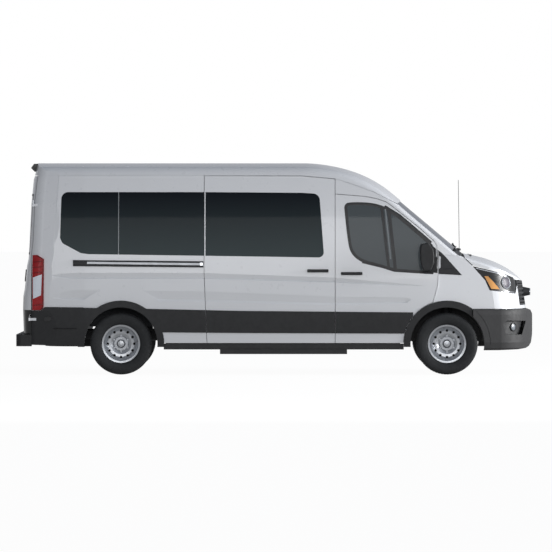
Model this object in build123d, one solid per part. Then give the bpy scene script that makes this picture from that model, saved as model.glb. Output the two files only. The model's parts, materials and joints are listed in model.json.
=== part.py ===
from build123d import *
from math import cos, radians, sin, sqrt, tan
import os

# A long-wheelbase, medium-roof minibus.  Millimetres, +X forward, +Z up, right side at -Y.
# The origin lies on the ground, midway between the two bumpers.

# ------------------------------------------------------------------ driving dimensions
FRONT_TIP = 2991.0
REAR_TIP = -2991.0
FRONT_AXLE_X = 1968.0
WHEELBASE = 3750.0
REAR_AXLE_X = FRONT_AXLE_X - WHEELBASE
TRACK = 1740.0

# body shell
HALF_WIDTH = 1016.0
WAIST_Z = 850.0
SKIRT_Z = 366.0
ROOF_Z = 2441.0
TUMBLEHOME_R = 6000.0
TUCK_UNDER_R = 4430.0
WALL = 60.0
DOOR_WALL = 56.0
PILLAR_WALL = 105.0
ROOF_WALL = 45.0
PANEL_GAP = 7.0
FLOOR_Z = 600.0
FLOOR_THICK = 50.0
BODY_REAR_X = -2812.0
REAR_BOW = 45.0
REAR_CORNER_R = 140.0
REAR_HALF = HALF_WIDTH - 38.0
SWAGE_DEEP = 10.0
EYEBROW_R = 658.0
SEAM_Z = 2294.0
FRAME_STRIP = 70.0

# roof and windscreen line: two arcs, then a straight windscreen
ROOF_BEND_X = 300.0
BROW_R = 1900.0
BROW_TURN = 18.0
HEADER_R = 1400.0
SCREEN_RAKE = 40.0
SCREEN_SET_IN = 14.0
SCREEN_TOP_Z = 2008.0
SCREEN_FOOT_Z = 1440.0
GLASS = 5.0
GLASS_FIT = 0.4
SEAT_FIT = 0.3
SEAM_DEEP = 8.0
PIN_FIT = 0.05

# doors and windows
SLIDE_DOOR_REAR_X = -822.0
SLIDE_DOOR_FRONT_X = 678.0
DOOR_HINGE_X = 1848.0
BAND_TOP_Z = 2101.0
BAND_FOOT_Z = 1375.0
GLASS_LAP = 35.0
REAR_DOOR_FOOT_Z = 470.0
REAR_DOOR_TOP_Z = 2288.0
ROOF_GAP = 11.0
REAR_DOOR_GAP = 8.0
REAR_GLASS_FOOT_Z = 1380.0
REAR_GLASS_TOP_Z = 2080.0
REAR_GLASS_Y = (75.0, 720.0)
HINGE_R = 11.0

# wheels
TYRE_R = 356.0
TYRE_WIDTH = 235.0
RIM_R = 219.0
HUB_Z = TYRE_R
ARCH_R = 420.0
FLARE_R = 498.0
LINER_WALL = 8.0
KINGPIN_Y = 790.0
DISC_OFFSET = 28.0
HUB_FACE_Y = TRACK / 2 + DISC_OFFSET - SEAT_FIT
NUT_CIRCLE_R = 90.0
SLOT_CIRCLE_R = 152.0
SLOT_COUNT = 12
NUT_COUNT = 6

# nose
BONNET_REAR_X = 2174.0
BONNET_FRONT_X = 2863.0
BONNET_FRONT_Z = 1077.0
NOSE_REAR_X = 1780.0
NOSE_FOOT_Z = 480.0
NOSE_WALL = 30.0
BONNET_WALL = 25.0
GRILLE_LEAN = 0.143
GRILLE_FRONT_X = 2895.0
GRILLE_REF_Z = 900.0
GRILLE_HALF = 556.0
GRILLE_FOOT_Z = 794.0
BUMPER_TOP_Z = 757.0
BUMPER_FOOT_Z = 285.0
BUMPER_WALL = 60.0

# chassis
RAIL_Y = 420.0
RAIL_WIDE = 70.0
RAIL_FOOT_Z = 400.0
RAIL_TOP_Z = 500.0
CROSSMEMBERS_X = (-2720, -2350, -1250, -300, 600, 1150, 2460)

FAR = 1400.0
HIGH = 2600.0


# ------------------------------------------------------------------ helpers
def polygon(points, radius=0.0):
    face = make_face(Wire(Polyline(*points, close=True).edges()))
    return fillet(face.vertices(), radius) if radius else face


def grow(face, amount):
    return offset(face, amount=amount, kind=Kind.INTERSECTION)


def block(x, y, z):
    """A box from three (low, high) ranges."""
    middle = [(low + high) / 2 for low, high in (x, y, z)]
    return Pos(*middle) * Box(x[1] - x[0], y[1] - y[0], z[1] - z[0])


def right_prism(face, near=0.0, far=FAR):
    """A side-view face (X, Z) made solid on the right side, from y=-near to y=-far."""
    return extrude(Plane.XZ.offset(near) * face, amount=far - near)


def across(face):
    """A side-view face (X, Z) made solid over the whole width."""
    return extrude(Plane.XZ.offset(-FAR) * face, amount=2 * FAR)


def wheel_disc(axle_x, radius, near, far):
    """A cylinder along Y about an axle, on the right side."""
    return extrude(Plane.XZ.offset(near) * (Pos(axle_x, HUB_Z) * Circle(radius)), amount=far - near)


def rod(start, end, radius):
    """A round bar between two points."""
    axis = Vector(end) - Vector(start)
    return extrude(Plane(origin=start, z_dir=axis) * Circle(radius), amount=axis.length)


def to_left(shape):
    return mirror(shape, about=Plane.XZ)


def pair(shape):
    """The right-hand piece and its mirror image, as one part of separate solids."""
    return Compound(children=list(shape.solids()) + list(to_left(shape).solids()))


# ------------------------------------------------------------------ master forms
def side_y(z, half_width):
    """Half width of the body side at height z: curved in above and below the waist."""
    bow = TUMBLEHOME_R if z > WAIST_Z else TUCK_UNDER_R
    return half_width - (z - WAIST_Z) ** 2 / (2 * bow)


def section(x, half_width, top, shape, foot, wall, roof_wall):
    """Closed cross-section at x: flat foot, bowed sides, round shoulders, crowned roof."""
    sag, drop, inset = shape
    half = half_width - wall
    crown = top - roof_wall
    z4 = crown - sag
    z3 = z4 - drop
    y3 = side_y(z3, half)
    y4 = y3 - inset
    y1 = side_y(foot, half)
    low = (foot + WAIST_Z) / 2
    high = (WAIST_Z + z3) / 2
    my = (y3 + y4) / 2 + drop / 5
    mz = (z3 + z4) / 2 + inset / 5
    edges = [
        Line((-y1, foot), (y1, foot)),
        ThreePointArc((y1, foot), (side_y(low, half), low), (half, WAIST_Z)),
        ThreePointArc((half, WAIST_Z), (side_y(high, half), high), (y3, z3)),
        ThreePointArc((y3, z3), (my, mz), (y4, z4)),
        ThreePointArc((y4, z4), (0, crown), (-y4, z4)),
        ThreePointArc((-y4, z4), (-my, mz), (-y3, z3)),
        ThreePointArc((-y3, z3), (-side_y(high, half), high), (-half, WAIST_Z)),
        ThreePointArc((-half, WAIST_Z), (-side_y(low, half), low), (-y1, foot)),
    ]
    return Plane.YZ.offset(x) * make_face(Wire(edges))


def roof_line(x):
    """Height of the roof, then of the windscreen line, on the centre plane."""
    brow = radians(BROW_TURN)
    rake = radians(SCREEN_RAKE)
    brow_end = ROOF_BEND_X + BROW_R * sin(brow)
    if x <= ROOF_BEND_X:
        return ROOF_Z
    if x <= brow_end:
        return ROOF_Z - BROW_R + sqrt(BROW_R ** 2 - (x - ROOF_BEND_X) ** 2)
    centre_x = brow_end - HEADER_R * sin(brow)
    centre_z = ROOF_Z - BROW_R * (1 - cos(brow)) - HEADER_R * cos(brow)
    screen_x = centre_x + HEADER_R * sin(rake)
    if x <= screen_x:
        return centre_z + sqrt(HEADER_R ** 2 - (x - centre_x) ** 2)
    return centre_z + HEADER_R * cos(rake) - (x - screen_x) * tan(rake)


# columns: x, narrowing of the half width, (roof sag to the shoulder, shoulder drop, shoulder inset)
BOX_SECTIONS = [
    (-2960, 55, (45, 125, 150)),
    (-2600, 24, (45, 125, 150)),
    (-2200, 8, (45, 125, 150)),
    (-1500, 2, (45, 125, 150)),
    (ROOF_BEND_X, 0, (45, 125, 150)),
]
CAB_SECTIONS = [
    (ROOF_BEND_X, 0, (45, 125, 150)),
    (500, 0, (46, 124, 150)),
    (700, 1, (50, 118, 146)),
    (900, 2, (57, 106, 136)),
    (1100, 3, (68, 92, 115)),
    (1300, 5, (82, 72, 85)),
    (1500, 8, (92, 60, 70)),
    (1700, 13, (95, 52, 62)),
    (1900, 20, (95, 50, 60)),
    (2100, 30, (95, 50, 60)),
    (2260, 44, (95, 50, 60)),
]


def master(wall, roof_wall, foot=SKIRT_Z):
    """The closed form of box and cab, set in by the wall thicknesses."""
    whole = None
    for rows in (BOX_SECTIONS, CAB_SECTIONS):
        faces = []
        for x, narrow, shape in rows:
            faces.append(section(x, HALF_WIDTH - narrow, roof_line(x), shape, foot, wall, roof_wall))
        solid = loft(faces, ruled=rows is BOX_SECTIONS)
        whole = solid if whole is None else whole + solid
    return whole


# columns: x, half width, top, (crown sag, shoulder drop, shoulder inset)
NOSE_SECTIONS = [
    (1780, 1000, 1410, (10, 12, 20)),
    (1960, 994, 1408, (14, 20, 30)),
    (2140, 983, 1396, (34, 48, 70)),
    (2320, 962, 1362, (55, 70, 100)),
    (2500, 925, 1310, (60, 70, 100)),
    (2640, 868, 1248, (60, 68, 100)),
    (2760, 792, 1172, (56, 60, 90)),
    (BONNET_FRONT_X, 700, BONNET_FRONT_Z, (50, 52, 80)),
    (2960, 600, 1030, (40, 50, 80)),
]


def nose_plan(front_x, widen, rear_x, z):
    """Plan outline of the nose: bowed front, round corners, sides running back."""
    corner = (front_x - 120, 650 + widen)
    bend = (front_x - 235, 815 + widen)
    flank = (front_x - 395, 912 + widen)
    rear = (rear_x, 1003 + widen)
    edges = [
        Line((rear[0], -rear[1]), rear),
        Line(rear, flank),
        ThreePointArc(flank, bend, corner),
        ThreePointArc(corner, (front_x, 0), (corner[0], -corner[1])),
        ThreePointArc((corner[0], -corner[1]), (bend[0], -bend[1]), (flank[0], -flank[1])),
        Line((flank[0], -flank[1]), (rear[0], -rear[1])),
    ]
    return Plane.XY.offset(z) * make_face(Wire(edges))


def nose_form(wall, roof_wall, foot):
    """The closed form of bonnet, wings and front panel, set in by the walls."""
    faces = []
    for x, half, top, shape in NOSE_SECTIONS:
        faces.append(section(x, half, top, shape, foot, wall, roof_wall))
    start_x = GRILLE_FRONT_X - wall + (GRILLE_REF_Z - foot) * GRILLE_LEAN
    outline = nose_plan(start_x, -wall, NOSE_REAR_X - 50, foot)
    leaning = extrude(outline, amount=HIGH / 2, dir=(-GRILLE_LEAN, 0, 1))
    return loft(faces) & leaning


# the rear end on the centre plane: height, X
REAR_LINE = [(290, -2933), (760, -2947), (900, -2942), (1000, -2924), (1250, -2900), (1340, -2881), (1500, -2872),
             (1966, -2851), (2246, -2824), (2470, -2766)]
# the split between rear doors and body in side view, (X, Z)
SPLIT = [(BODY_REAR_X, 250), (BODY_REAR_X, 1379), (-2793, 1550), (-2776, 2010), (-2745, 2288), (-2718, HIGH)]


def rear_plan(z, rear_x, set_in):
    """Plan outline of the rear end at one height: bowed rear, round corners, sides running forward."""
    radius = REAR_CORNER_R - set_in
    turn = radius * sin(radians(45))
    x = rear_x + REAR_BOW + REAR_CORNER_R
    half = side_y(z, REAR_HALF)
    y = half - REAR_CORNER_R
    start = (-2350, half + 40 - set_in)
    points = [start, (x, y + radius), (x - turn, y + turn), (x - radius, y)]
    left = [(px, -py) for px, py in points]
    edges = [
        Line(points[0], points[1]),
        ThreePointArc(points[1], points[2], points[3]),
        ThreePointArc(points[3], (rear_x + set_in, 0), left[3]),
        ThreePointArc(left[3], left[2], left[1]),
        Line(left[1], left[0]),
        Line(left[0], points[0]),
    ]
    return Plane.XY.offset(z) * make_face(Wire(edges))


def rear_form(set_in, top=HIGH):
    """The rounded rear end, over the full width, that the body and the rear doors end in."""
    rows = [row for row in REAR_LINE if row[0] <= top]
    tail = loft([rear_plan(z, x, set_in) for z, x in rows], ruled=True)
    return tail + block((-2351, FRONT_TIP), (-FAR, FAR), (rows[0][0], rows[-1][0]))


def behind_split(gap):
    """Everything behind the joint between body and rear doors."""
    return across(polygon([(x - gap, z) for x, z in SPLIT] + [(-3100, HIGH), (-3100, SPLIT[0][1])]))


# body-side swages, columns: X, top Z, foot Z, share of the full depth
UPPER_SWAGE = [(-2577, 1142, 1134, 0), (-2480, 1164, 1116, 0.6), (-2300, 1172, 1102, 1), (-2050, 1172, 1102, 1),
               (-1700, 1172, 1102, 1), (-1250, 1171, 1102, 1), (-815, 1170, 1101, 1), (680, 1117, 1060, 1),
               (1178, 1073, 1034, 0.8), (1737, 1021, 1016, 0)]
LOWER_SWAGE = [(-2563, 892, 884, 0), (-2480, 942, 868, 0.6), (-2350, 972, 860, 1), (-2100, 970, 855, 1),
               (-1600, 967, 850, 1), (-1250, 963, 843, 1), (-815, 958, 837, 1), (680, 897, 803, 1),
               (1490, 888, 822, 1), (1570, 872, 850, 0)]
SWAGE_LIP = 1.5


def swage(body, rows):
    """A long shallow dent in the right side: a slope facing down over a short lip."""
    faces = []
    for x, top, foot, share in rows:
        deep_z = foot + (top - foot) * 0.22
        points = []
        for z, dent in ((top, SWAGE_LIP), (deep_z, SWAGE_LIP + SWAGE_DEEP * share), (foot, SWAGE_LIP)):
            skin = body.find_intersection_points(Axis((x, -FAR, z), (0, 1, 0)))[0][0]
            points.append((skin.Y + dent, z))
        points += [(points[2][0] - 60, foot), (points[0][0] - 60, top)]
        faces.append(Plane.YZ.offset(x) * polygon(points))
    return loft(faces, ruled=True)


def swages(body):
    low = swage(body, LOWER_SWAGE)
    for x in (REAR_AXLE_X, FRONT_AXLE_X):
        low -= wheel_disc(x, EYEBROW_R, 520, FAR)
    right = [swage(body, UPPER_SWAGE)] + list(low.solids())
    return right + [to_left(solid) for solid in right]


RIGHT_HALF = block((REAR_TIP, FRONT_TIP), (-FAR, -300), (0, HIGH))
PLAIN = master(0, 0)
REAR = rear_form(0)
OUTER = (PLAIN & REAR) - swages(PLAIN)
INNER = master(WALL, ROOF_WALL, SKIRT_Z - 50) & rear_form(WALL)
SHELL = OUTER - INNER
OUTER_R = OUTER & RIGHT_HALF
INNER_R = INNER & RIGHT_HALF
DOOR_IN_R = master(DOOR_WALL, ROOF_WALL, SKIRT_Z - 50) & RIGHT_HALF
PILLAR_IN = master(PILLAR_WALL, ROOF_WALL + 30, SKIRT_Z - 60)
PILLAR_IN_R = PILLAR_IN & RIGHT_HALF
GLASS_IN_R = master(GLASS, GLASS) & RIGHT_HALF
PANE_IN_R = master(GLASS - GLASS_FIT, GLASS - GLASS_FIT) & RIGHT_HALF
NOSE = nose_form(0, 0, NOSE_FOOT_Z)
NOSE_IN = nose_form(NOSE_WALL, BONNET_WALL, NOSE_FOOT_Z - 80)
NOSE_SHELL = NOSE - NOSE_IN
NOSE_SEAM_IN = nose_form(SEAM_DEEP, SEAM_DEEP, NOSE_FOOT_Z - 40)
SEAM_IN = master(SEAM_DEEP, SEAM_DEEP)
SEAM_IN_R = SEAM_IN & RIGHT_HALF
SEATED_IN_R = master(WALL - SEAT_FIT, ROOF_WALL) & RIGHT_HALF

# ------------------------------------------------------------------ side-view lines, (X, Z)
SEAM = [(-2960, SEAM_Z), (ROOF_BEND_X, SEAM_Z - 3), (SLIDE_DOOR_FRONT_X, 2257), (820, 2216), (1136, 2101),
        (1440, 1948)]
DOOR_TOP = [(SLIDE_DOOR_FRONT_X + PANEL_GAP, 2075), (1034, 2048), (1157, 2022), (1263, 1987), (1333, 1939),
            (1657, 1679), (1820, 1531), (1846, 1487)]
DOOR_EDGE = [(1861, 1152), (1855, 1028), (1806, 851)]


def slide_door_face():
    top = [(SLIDE_DOOR_FRONT_X, 2257 - PANEL_GAP), (ROOF_BEND_X, SEAM_Z - 3 - PANEL_GAP),
           (SLIDE_DOOR_REAR_X, SEAM_Z - PANEL_GAP)]
    foot = [(SLIDE_DOOR_REAR_X, 1180), (SLIDE_DOOR_REAR_X + 33, SKIRT_Z), (SLIDE_DOOR_FRONT_X, SKIRT_Z)]
    return polygon(top + foot)


def front_door_face():
    foot = [(FRONT_AXLE_X - FLARE_R, SKIRT_Z), (SLIDE_DOOR_FRONT_X + PANEL_GAP, SKIRT_Z)]
    face = polygon(DOOR_TOP + DOOR_EDGE + foot)
    return face - Pos(FRONT_AXLE_X, HUB_Z) * Circle(FLARE_R + PANEL_GAP)


def roof_region(lower):
    line = [(x, z - lower) for x, z in SEAM]
    return across(polygon(line + [(1540, 2100), (1540, HIGH), (-2960, HIGH)]))


def arch_cut(axle_x, radius=ARCH_R):
    return wheel_disc(axle_x, radius, 520, FAR)


REAR_ARCH = arch_cut(REAR_AXLE_X)
FRONT_ARCH = arch_cut(FRONT_AXLE_X)


# ------------------------------------------------------------------ windscreen and roof
def screen_hole(add, x0=1000, x1=2300):
    """The windscreen's front-view outline, run through the cab."""
    top, foot = SCREEN_TOP_Z + add, SCREEN_FOOT_Z - add
    half_top, half_foot = 822 + add, 900 + add
    edges = [
        ThreePointArc((-half_foot, foot - 24), (0, foot), (half_foot, foot - 24)),
        Line((half_foot, foot - 24), (half_top, top - 40)),
        ThreePointArc((half_top, top - 40), (0, top), (-half_top, top - 40)),
        Line((-half_top, top - 40), (-half_foot, foot - 24)),
    ]
    return extrude(Plane.YZ.offset(x0) * make_face(Wire(edges)), amount=x1 - x0)


def make_windscreen():
    far_side = master(SCREEN_SET_IN, SCREEN_SET_IN)
    near_side = master(SCREEN_SET_IN + GLASS, SCREEN_SET_IN + GLASS)
    return (far_side - near_side) & screen_hole(0)


# threaded seats for roof bars, a pair at each X
ROOF_BAR_X = (-2230.0, -1713.0, -724.0, -172.0)
ROOF_BAR_Y = 700.0
ROOF_PAD_Z = 2399.0
ROOF_PAD_R = 13.0
ROOF_HOLE_R = 4.25
ROOF_HOLE_DEEP = 22.0
BRAKE_LAMP = [(-2740, 2436), (-2818, 2433), (-2853, 2385), (-2812, 2342), (-2740, 2338)]
BRAKE_LAMP_HALF = 200.0


def make_roof():
    """Roof skin, which runs down at the rear to close on the rear doors."""
    trimmed = SHELL & block((-3000, 1700), (-FAR, FAR), (1800, HIGH))
    roof = (trimmed & roof_region(0)) - screen_hole(SEAT_FIT)
    over_doors = block((-3000, -2600), (-FAR, FAR), (0, REAR_DOOR_TOP_Z + ROOF_GAP))
    places = [Vector(x, y, ROOF_PAD_Z) for x in ROOF_BAR_X for y in (-ROOF_BAR_Y, ROOF_BAR_Y)]
    pads = [rod(place - Vector(0, 0, 20), place, ROOF_PAD_R) for place in places]
    holes = [rod(place - Vector(0, 0, ROOF_HOLE_DEEP), place + Vector(0, 0, 5), ROOF_HOLE_R) for place in places]
    return ((roof - (behind_split(0) & over_doors)) + pads) - holes


def make_brake_lamp():
    """Housing of the high-level lamp, standing out behind the roof's rear edge."""
    housing = extrude(Plane.XZ.offset(-BRAKE_LAMP_HALF) * polygon(BRAKE_LAMP), amount=2 * BRAKE_LAMP_HALF)
    return (housing - Pos(-SEAT_FIT, 0, 0) * REAR).solids().sort_by(SortBy.VOLUME)[-1]


# ------------------------------------------------------------------ side windows
# columns: the pane's rear X and front X
BAND_PANES = [(-2483.0, -1813.0), (-1807.0, -824.0), (-810.0, 554.0)]
BAND_CORNER_R = 80.0


def rounded(points):
    """A polygon from (X, Z, corner radius) rows."""
    face = polygon([(x, z) for x, z, radius in points])
    for x, z, radius in points:
        if radius:
            corner = face.vertices().sort_by_distance((x, z, 0))[0]
            face = fillet(corner, radius)
    return face


def band_face(index):
    rear, front = BAND_PANES[index]
    top, foot = BAND_TOP_Z, BAND_FOOT_Z
    points = [
        [(rear + 14, top, BAND_CORNER_R), (front, top, 0), (front, foot + 8, 0), (-2161, 1388, 40), (-2245, 1400, 60),
         (-2455, 1512, 60), (rear, 1573, 40)],
        [(rear, top, 0), (front, top, 0), (front, foot - 6, 0), (rear, foot + 8, 0)],
        [(rear, top, 0), (ROOF_BEND_X, top - 8, 0), (500, 2080, BAND_CORNER_R), (front, 1349, 60),
         (rear, foot - 6, 0)],
    ]
    return rounded(points[index])


def front_pane_face():
    outline = [(792, 1900, 0), (790, 1952, 20), (838, 1980, 30), (1080, 1972, 0), (1230, 1938, 0), (1385, 1855, 0),
               (1660, 1622, 0), (1806, 1492, 20), (1818, 1172, 10), (1600, 1188, 0), (1360, 1205, 0),
               (1230, 1250, 0), (985, 1305, 60), (868, 1420, 80)]
    return rounded(outline)


def glazed(panel, face):
    """Cut a window into a panel: a through opening and a rebate for the bonded glass."""
    opening = right_prism(offset(face, amount=-GLASS_LAP), 300)
    rebate = right_prism(offset(face, amount=GLASS_FIT), 300) - GLASS_IN_R
    return panel - opening - rebate


def pane(face):
    return (OUTER_R & right_prism(face, 300)) - PANE_IN_R


# ------------------------------------------------------------------ body sides
BUFFER_X = (SLIDE_DOOR_FRONT_X + 20, SLIDE_DOOR_FRONT_X + 50)
BUFFER_Z = (1000, 1060)
BUFFER_OUT_R = master(DOOR_WALL + SEAT_FIT, ROOF_WALL) & RIGHT_HALF
SCUTTLE_HALF = 885.0
WING_BED_R = nose_form(NOSE_WALL + 3 * SEAT_FIT, BONNET_WALL + 3 * SEAT_FIT, NOSE_FOOT_Z - 90) & RIGHT_HALF
WING_LINE = [(2190, NOSE_FOOT_Z), (2190, 759), (2531, 759), (2462, 964), (2406, 1088), (2333, 1168), (2270, 1243),
             (2166, 1341), (2136, 1378), (1876, 1378), (1868, 1152),
             (1862, 1030), (1812, 849), (1812, NOSE_FOOT_Z)]


PILLAR_SKIN = (OUTER_R & block((-1200, 2112), (-FAR, -300), (SKIRT_Z, HIGH))) - PILLAR_IN_R


def opening_frame(skin, face, keep_out=()):
    """Set a door opening into a body side: a stepped frame round the door, then the way through."""
    way = right_prism(grow(face, -FRAME_STRIP), 300)
    strip = PILLAR_SKIN & (right_prism(grow(face, FRAME_STRIP / 2), 300) - way)
    for room in keep_out:
        strip -= room
    skin += strip
    skin -= right_prism(grow(face, PANEL_GAP), 300) - INNER_R
    return skin - way


def make_body_sides():
    """Right-hand side with its sliding-door opening, and the plain left side drawn on the right."""
    whole = block((-3000, 2112), (-FAR, -300), (SKIRT_Z, HIGH))
    base = (SHELL & whole) - behind_split(0)
    base = opening_frame(base, front_door_face())
    roof_bed = roof_region(SEAT_FIT) & RIGHT_HALF
    roof_lip = (roof_region(PANEL_GAP) & RIGHT_HALF) - SEAM_IN_R
    door_gap = right_prism(grow(front_door_face(), PANEL_GAP), 300) - INNER_R
    base = base - roof_bed - roof_lip
    base -= screen_hole(SEAT_FIT, 1000, 2300)
    wing = grow(polygon(WING_LINE), PANEL_GAP) - Pos(2008, 1390) * Rectangle(250, 22)
    base -= right_prism(wing, 300) - WING_BED_R
    base -= REAR_ARCH
    base -= arch_cut(FRONT_AXLE_X, ARCH_R + LINER_WALL + 4)
    base -= block((1500, 2400), (-FAR, -300), (0, FLOOR_Z - FLOOR_THICK))
    base -= lamp_seat(SEAT_FIT)
    base -= block((1990, 2300), (-SCUTTLE_HALF - SEAT_FIT, -300), (1200, SCREEN_FOOT_Z + 10))
    base -= right_prism(polygon(CORNER_SEAM), 300) - SEAM_IN_R
    base = glazed(base, band_face(0))
    buffers = (BUFFER_OUT_R - INNER_R) & block(BUFFER_X, (-FAR, -300), BUFFER_Z)
    sides = []
    right = opening_frame(base, slide_door_face(), (roof_bed, roof_lip, door_gap))
    for skin in (right, glazed(base, band_face(2))):
        skin = glazed(skin, band_face(1)).solids().sort_by(SortBy.VOLUME)[-1]
        sides.append(skin + buffers + hinge_half(False))
    return sides


# the upright seam of the rear corner panel, as a thin closed outline
CORNER_SEAM = [(-2506, 2290), (-2511, 2217), (-2560, 1527), (-2563, 1412), (-2668, 1338), (-2664, 1330),
               (-2556, 1408), (-2553, 1527), (-2504, 2217), (-2499, 2290)]
TAIL_LAMP = [(BODY_REAR_X, 1374), (-2745, 1379), (-2666, 1331), (-2670, 776), (-2697, 745), (BODY_REAR_X, 745)]
LAMP_BED_Y = -905.0
LAMP_SET_BACK = 11.0


def lamp_seat(add):
    """Pocket in the rear corner; its bed is upright and level with the roof's edge."""
    return right_prism(grow(polygon(TAIL_LAMP), add), 300) & block((-3000, -2600), (-FAR, LAMP_BED_Y + add), (0, HIGH))


def make_tail_lamp():
    """Tall lamp let into the rear corner, a little proud of it and clear of a door swung right open."""
    return (CLAD_OUT_R & lamp_seat(0)) - block((-3000, BODY_REAR_X + LAMP_SET_BACK), (-FAR, 0), (0, HIGH))


# ------------------------------------------------------------------ doors
def make_sliding_door():
    door = (OUTER_R - SEATED_IN_R) & right_prism(slide_door_face(), 300)
    return glazed(door, band_face(2))


def make_front_door():
    door = (OUTER_R - DOOR_IN_R) & right_prism(front_door_face(), 300)
    return glazed(door, front_pane_face())


MIRROR_SIDE = [(1661, 1505), (1745, 1518), (1800, 1450), (1814, 1372), (1808, 1280), (1775, 1200), (1690, 1196),
               (1660, 1290), (1652, 1400)]
MIRROR_ROUND = 22.0
MIRROR_EDGE = 14.0


def make_mirror():
    """Outer mirror: a housing that narrows downwards, on a short arm."""
    side = fillet(polygon(MIRROR_SIDE).vertices(), MIRROR_ROUND)
    head = extrude(Plane.XZ.offset(1040) * side, amount=197)
    head = fillet(head.edges().group_by(Axis.Y)[0], MIRROR_EDGE)
    arm = block((1712, 1786), (-1100, -940), (1215, 1262)) - OUTER_R
    return head + arm


def make_rear_door():
    """Right-hand leaf: the shell behind the split, with a bonded window."""
    width = block((-3000, -2600), (-FAR, -REAR_DOOR_GAP / 2), (REAR_DOOR_FOOT_Z, REAR_DOOR_TOP_Z))
    low, high = REAR_GLASS_Y
    window = block((-3000, -2600), (-high + GLASS_LAP, -low - GLASS_LAP),
                   (REAR_GLASS_FOOT_Z + GLASS_LAP, REAR_GLASS_TOP_Z - GLASS_LAP))
    seat = block((-3000, -2600), (-high - GLASS_FIT, -low + GLASS_FIT),
                 (REAR_GLASS_FOOT_Z - GLASS_FIT, REAR_GLASS_TOP_Z + GLASS_FIT))
    door = (SHELL & width & behind_split(REAR_SPLIT_GAP)) - window - (seat - Pos(GLASS, 0, 0) * REAR)
    return door.solids().sort_by(SortBy.VOLUME)[-1] + hinge_half(True)


def make_rear_glass():
    low, high = REAR_GLASS_Y
    pane = REAR & block((-3000, -2700), (-high, -low), (REAR_GLASS_FOOT_Z, REAR_GLASS_TOP_Z))
    return pane - Pos(GLASS - GLASS_FIT, 0, 0) * REAR


# the rear-door hinges, low and high: X, distance from the centre plane, Z, where the body's leaf starts
REAR_HINGES = [(-2836.0, 986.0, 657.0, -2806.0), (-2801.0, 846.0, 1970.0, -2770.0)]
REAR_SPLIT_GAP = 4.0
LEAF_LONG = 80.0
LEAF_DROP = (33, 4)


def hinge_half(on_door):
    """Knuckle and leaf of both rear-door hinges: upper half on the door, lower half on the pillar."""
    points = [Vector(x, -y, z) for x, y, z, jamb_x in REAR_HINGES]
    axis = (points[1] - points[0]).normalized()
    pieces = []
    for x, y, z, jamb_x in REAR_HINGES:
        foot = Vector(x, -y, z)
        if on_door:
            start, end = foot + axis, foot + axis * 36
            knuckle = rod(start, end, HINGE_R) - rod(start, end, HINGE_R / 2 + PIN_FIT)
            leaf = block((x - 8, x + 6), (-y + 10, -y + 86), (z + LEAF_DROP[1], z + LEAF_DROP[0]))
        else:
            start, end = foot - axis * 36, foot - axis
            knuckle = rod(start, end, HINGE_R) + rod(end, foot + axis * 34, HINGE_R / 2)
            levels = (z - LEAF_DROP[0], z - LEAF_DROP[1])
            leaf = block((x, x + LEAF_LONG), (-y - 6, -y + 6), levels)
            leaf += block((jamb_x, x + LEAF_LONG), (-y - 6, -y + 40), levels)
        pieces.append(knuckle + leaf)
    return pieces


# ------------------------------------------------------------------ nose
def make_wing():
    wing = (NOSE_SHELL & right_prism(polygon(WING_LINE))) - FRONT_ARCH
    wing -= wheel_disc(FRONT_AXLE_X, ARCH_R + LINER_WALL + 0.3, 520, 940.3)
    half = SCUTTLE_HALF + SEAT_FIT
    return wing - block((1700, 2700), (-half, half), (1000, 1600))


LAMP = [(2270, 1243), (2406, 1212), (2553, 1179), (2664, 1142), (2736, 1109), (2769, BONNET_FRONT_Z), (2776, 1007),
        (2766, 930), (2626, 952), (2463, 970), (2406, 1088), (2333, 1168)]
LAMP_NEAR_Y = 560.0
LAMP_DEEP = 90.0


def lamp_hole(add):
    return right_prism(grow(polygon(LAMP), add), LAMP_NEAR_Y)


def make_headlamp():
    lamp = (NOSE & lamp_hole(-SEAT_FIT)) - nose_form(LAMP_DEEP, LAMP_DEEP * 2 / 3, NOSE_FOOT_Z - 80)
    return lamp - ((lamp_hole(1) - lamp_hole(-3)) - NOSE_SEAM_IN)


def make_bonnet():
    edge = [(BONNET_REAR_X, 1345), (2276, 1250), (2406, 1219), (2553, 1186), (2664, 1149), (2736, 1116),
            (2776, BONNET_EDGE_Z), (2960, BONNET_EDGE_Z), (2960, 1500), (BONNET_REAR_X, 1500)]
    return NOSE_SHELL & across(polygon(edge))


def make_scuttle():
    """Black panel that carries the windscreen's slope on to the bonnet."""
    form = master(SCREEN_SET_IN, SCREEN_SET_IN) - master(SCREEN_SET_IN + 26, SCREEN_SET_IN + 26)
    panel = form & block((2020, BONNET_REAR_X - PANEL_GAP), (-SCUTTLE_HALF, SCUTTLE_HALF), (1290, 1500))
    return panel - screen_hole(3)


def make_fascia():
    face = polygon([(2525, BUMPER_TOP_Z + SEAT_FIT), (2460, 972), (2626, 955), (2770, 935), (2800, BONNET_FRONT_Z),
                    (3000, BONNET_FRONT_Z), (3000, BUMPER_TOP_Z + SEAT_FIT)])
    fascia = NOSE_SHELL & across(face)
    opening = block((2600, 3100), (-GRILLE_HALF - SEAT_FIT, GRILLE_HALF + SEAT_FIT), (GRILLE_FOOT_Z - SEAT_FIT, 1100))
    wing = right_prism(grow(polygon(WING_LINE), SEAT_FIT), 300)
    lamp = lamp_hole(SEAT_FIT)
    return fascia - opening - [lamp, to_left(lamp), wing, to_left(wing)]


BONNET_BUFFER_X = 2821.0
BONNET_BUFFER_Y = 350.0
BONNET_EDGE_Z = BONNET_FRONT_Z + PANEL_GAP
BADGE_Z = 943.0
BADGE_R = 64.0
BADGE_REAR_X = 2850.0
BADGE_FRONT_X = 2969.0
GRILLE_BARS = 5
GRILLE_BAR_HIGH = 20.0


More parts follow.
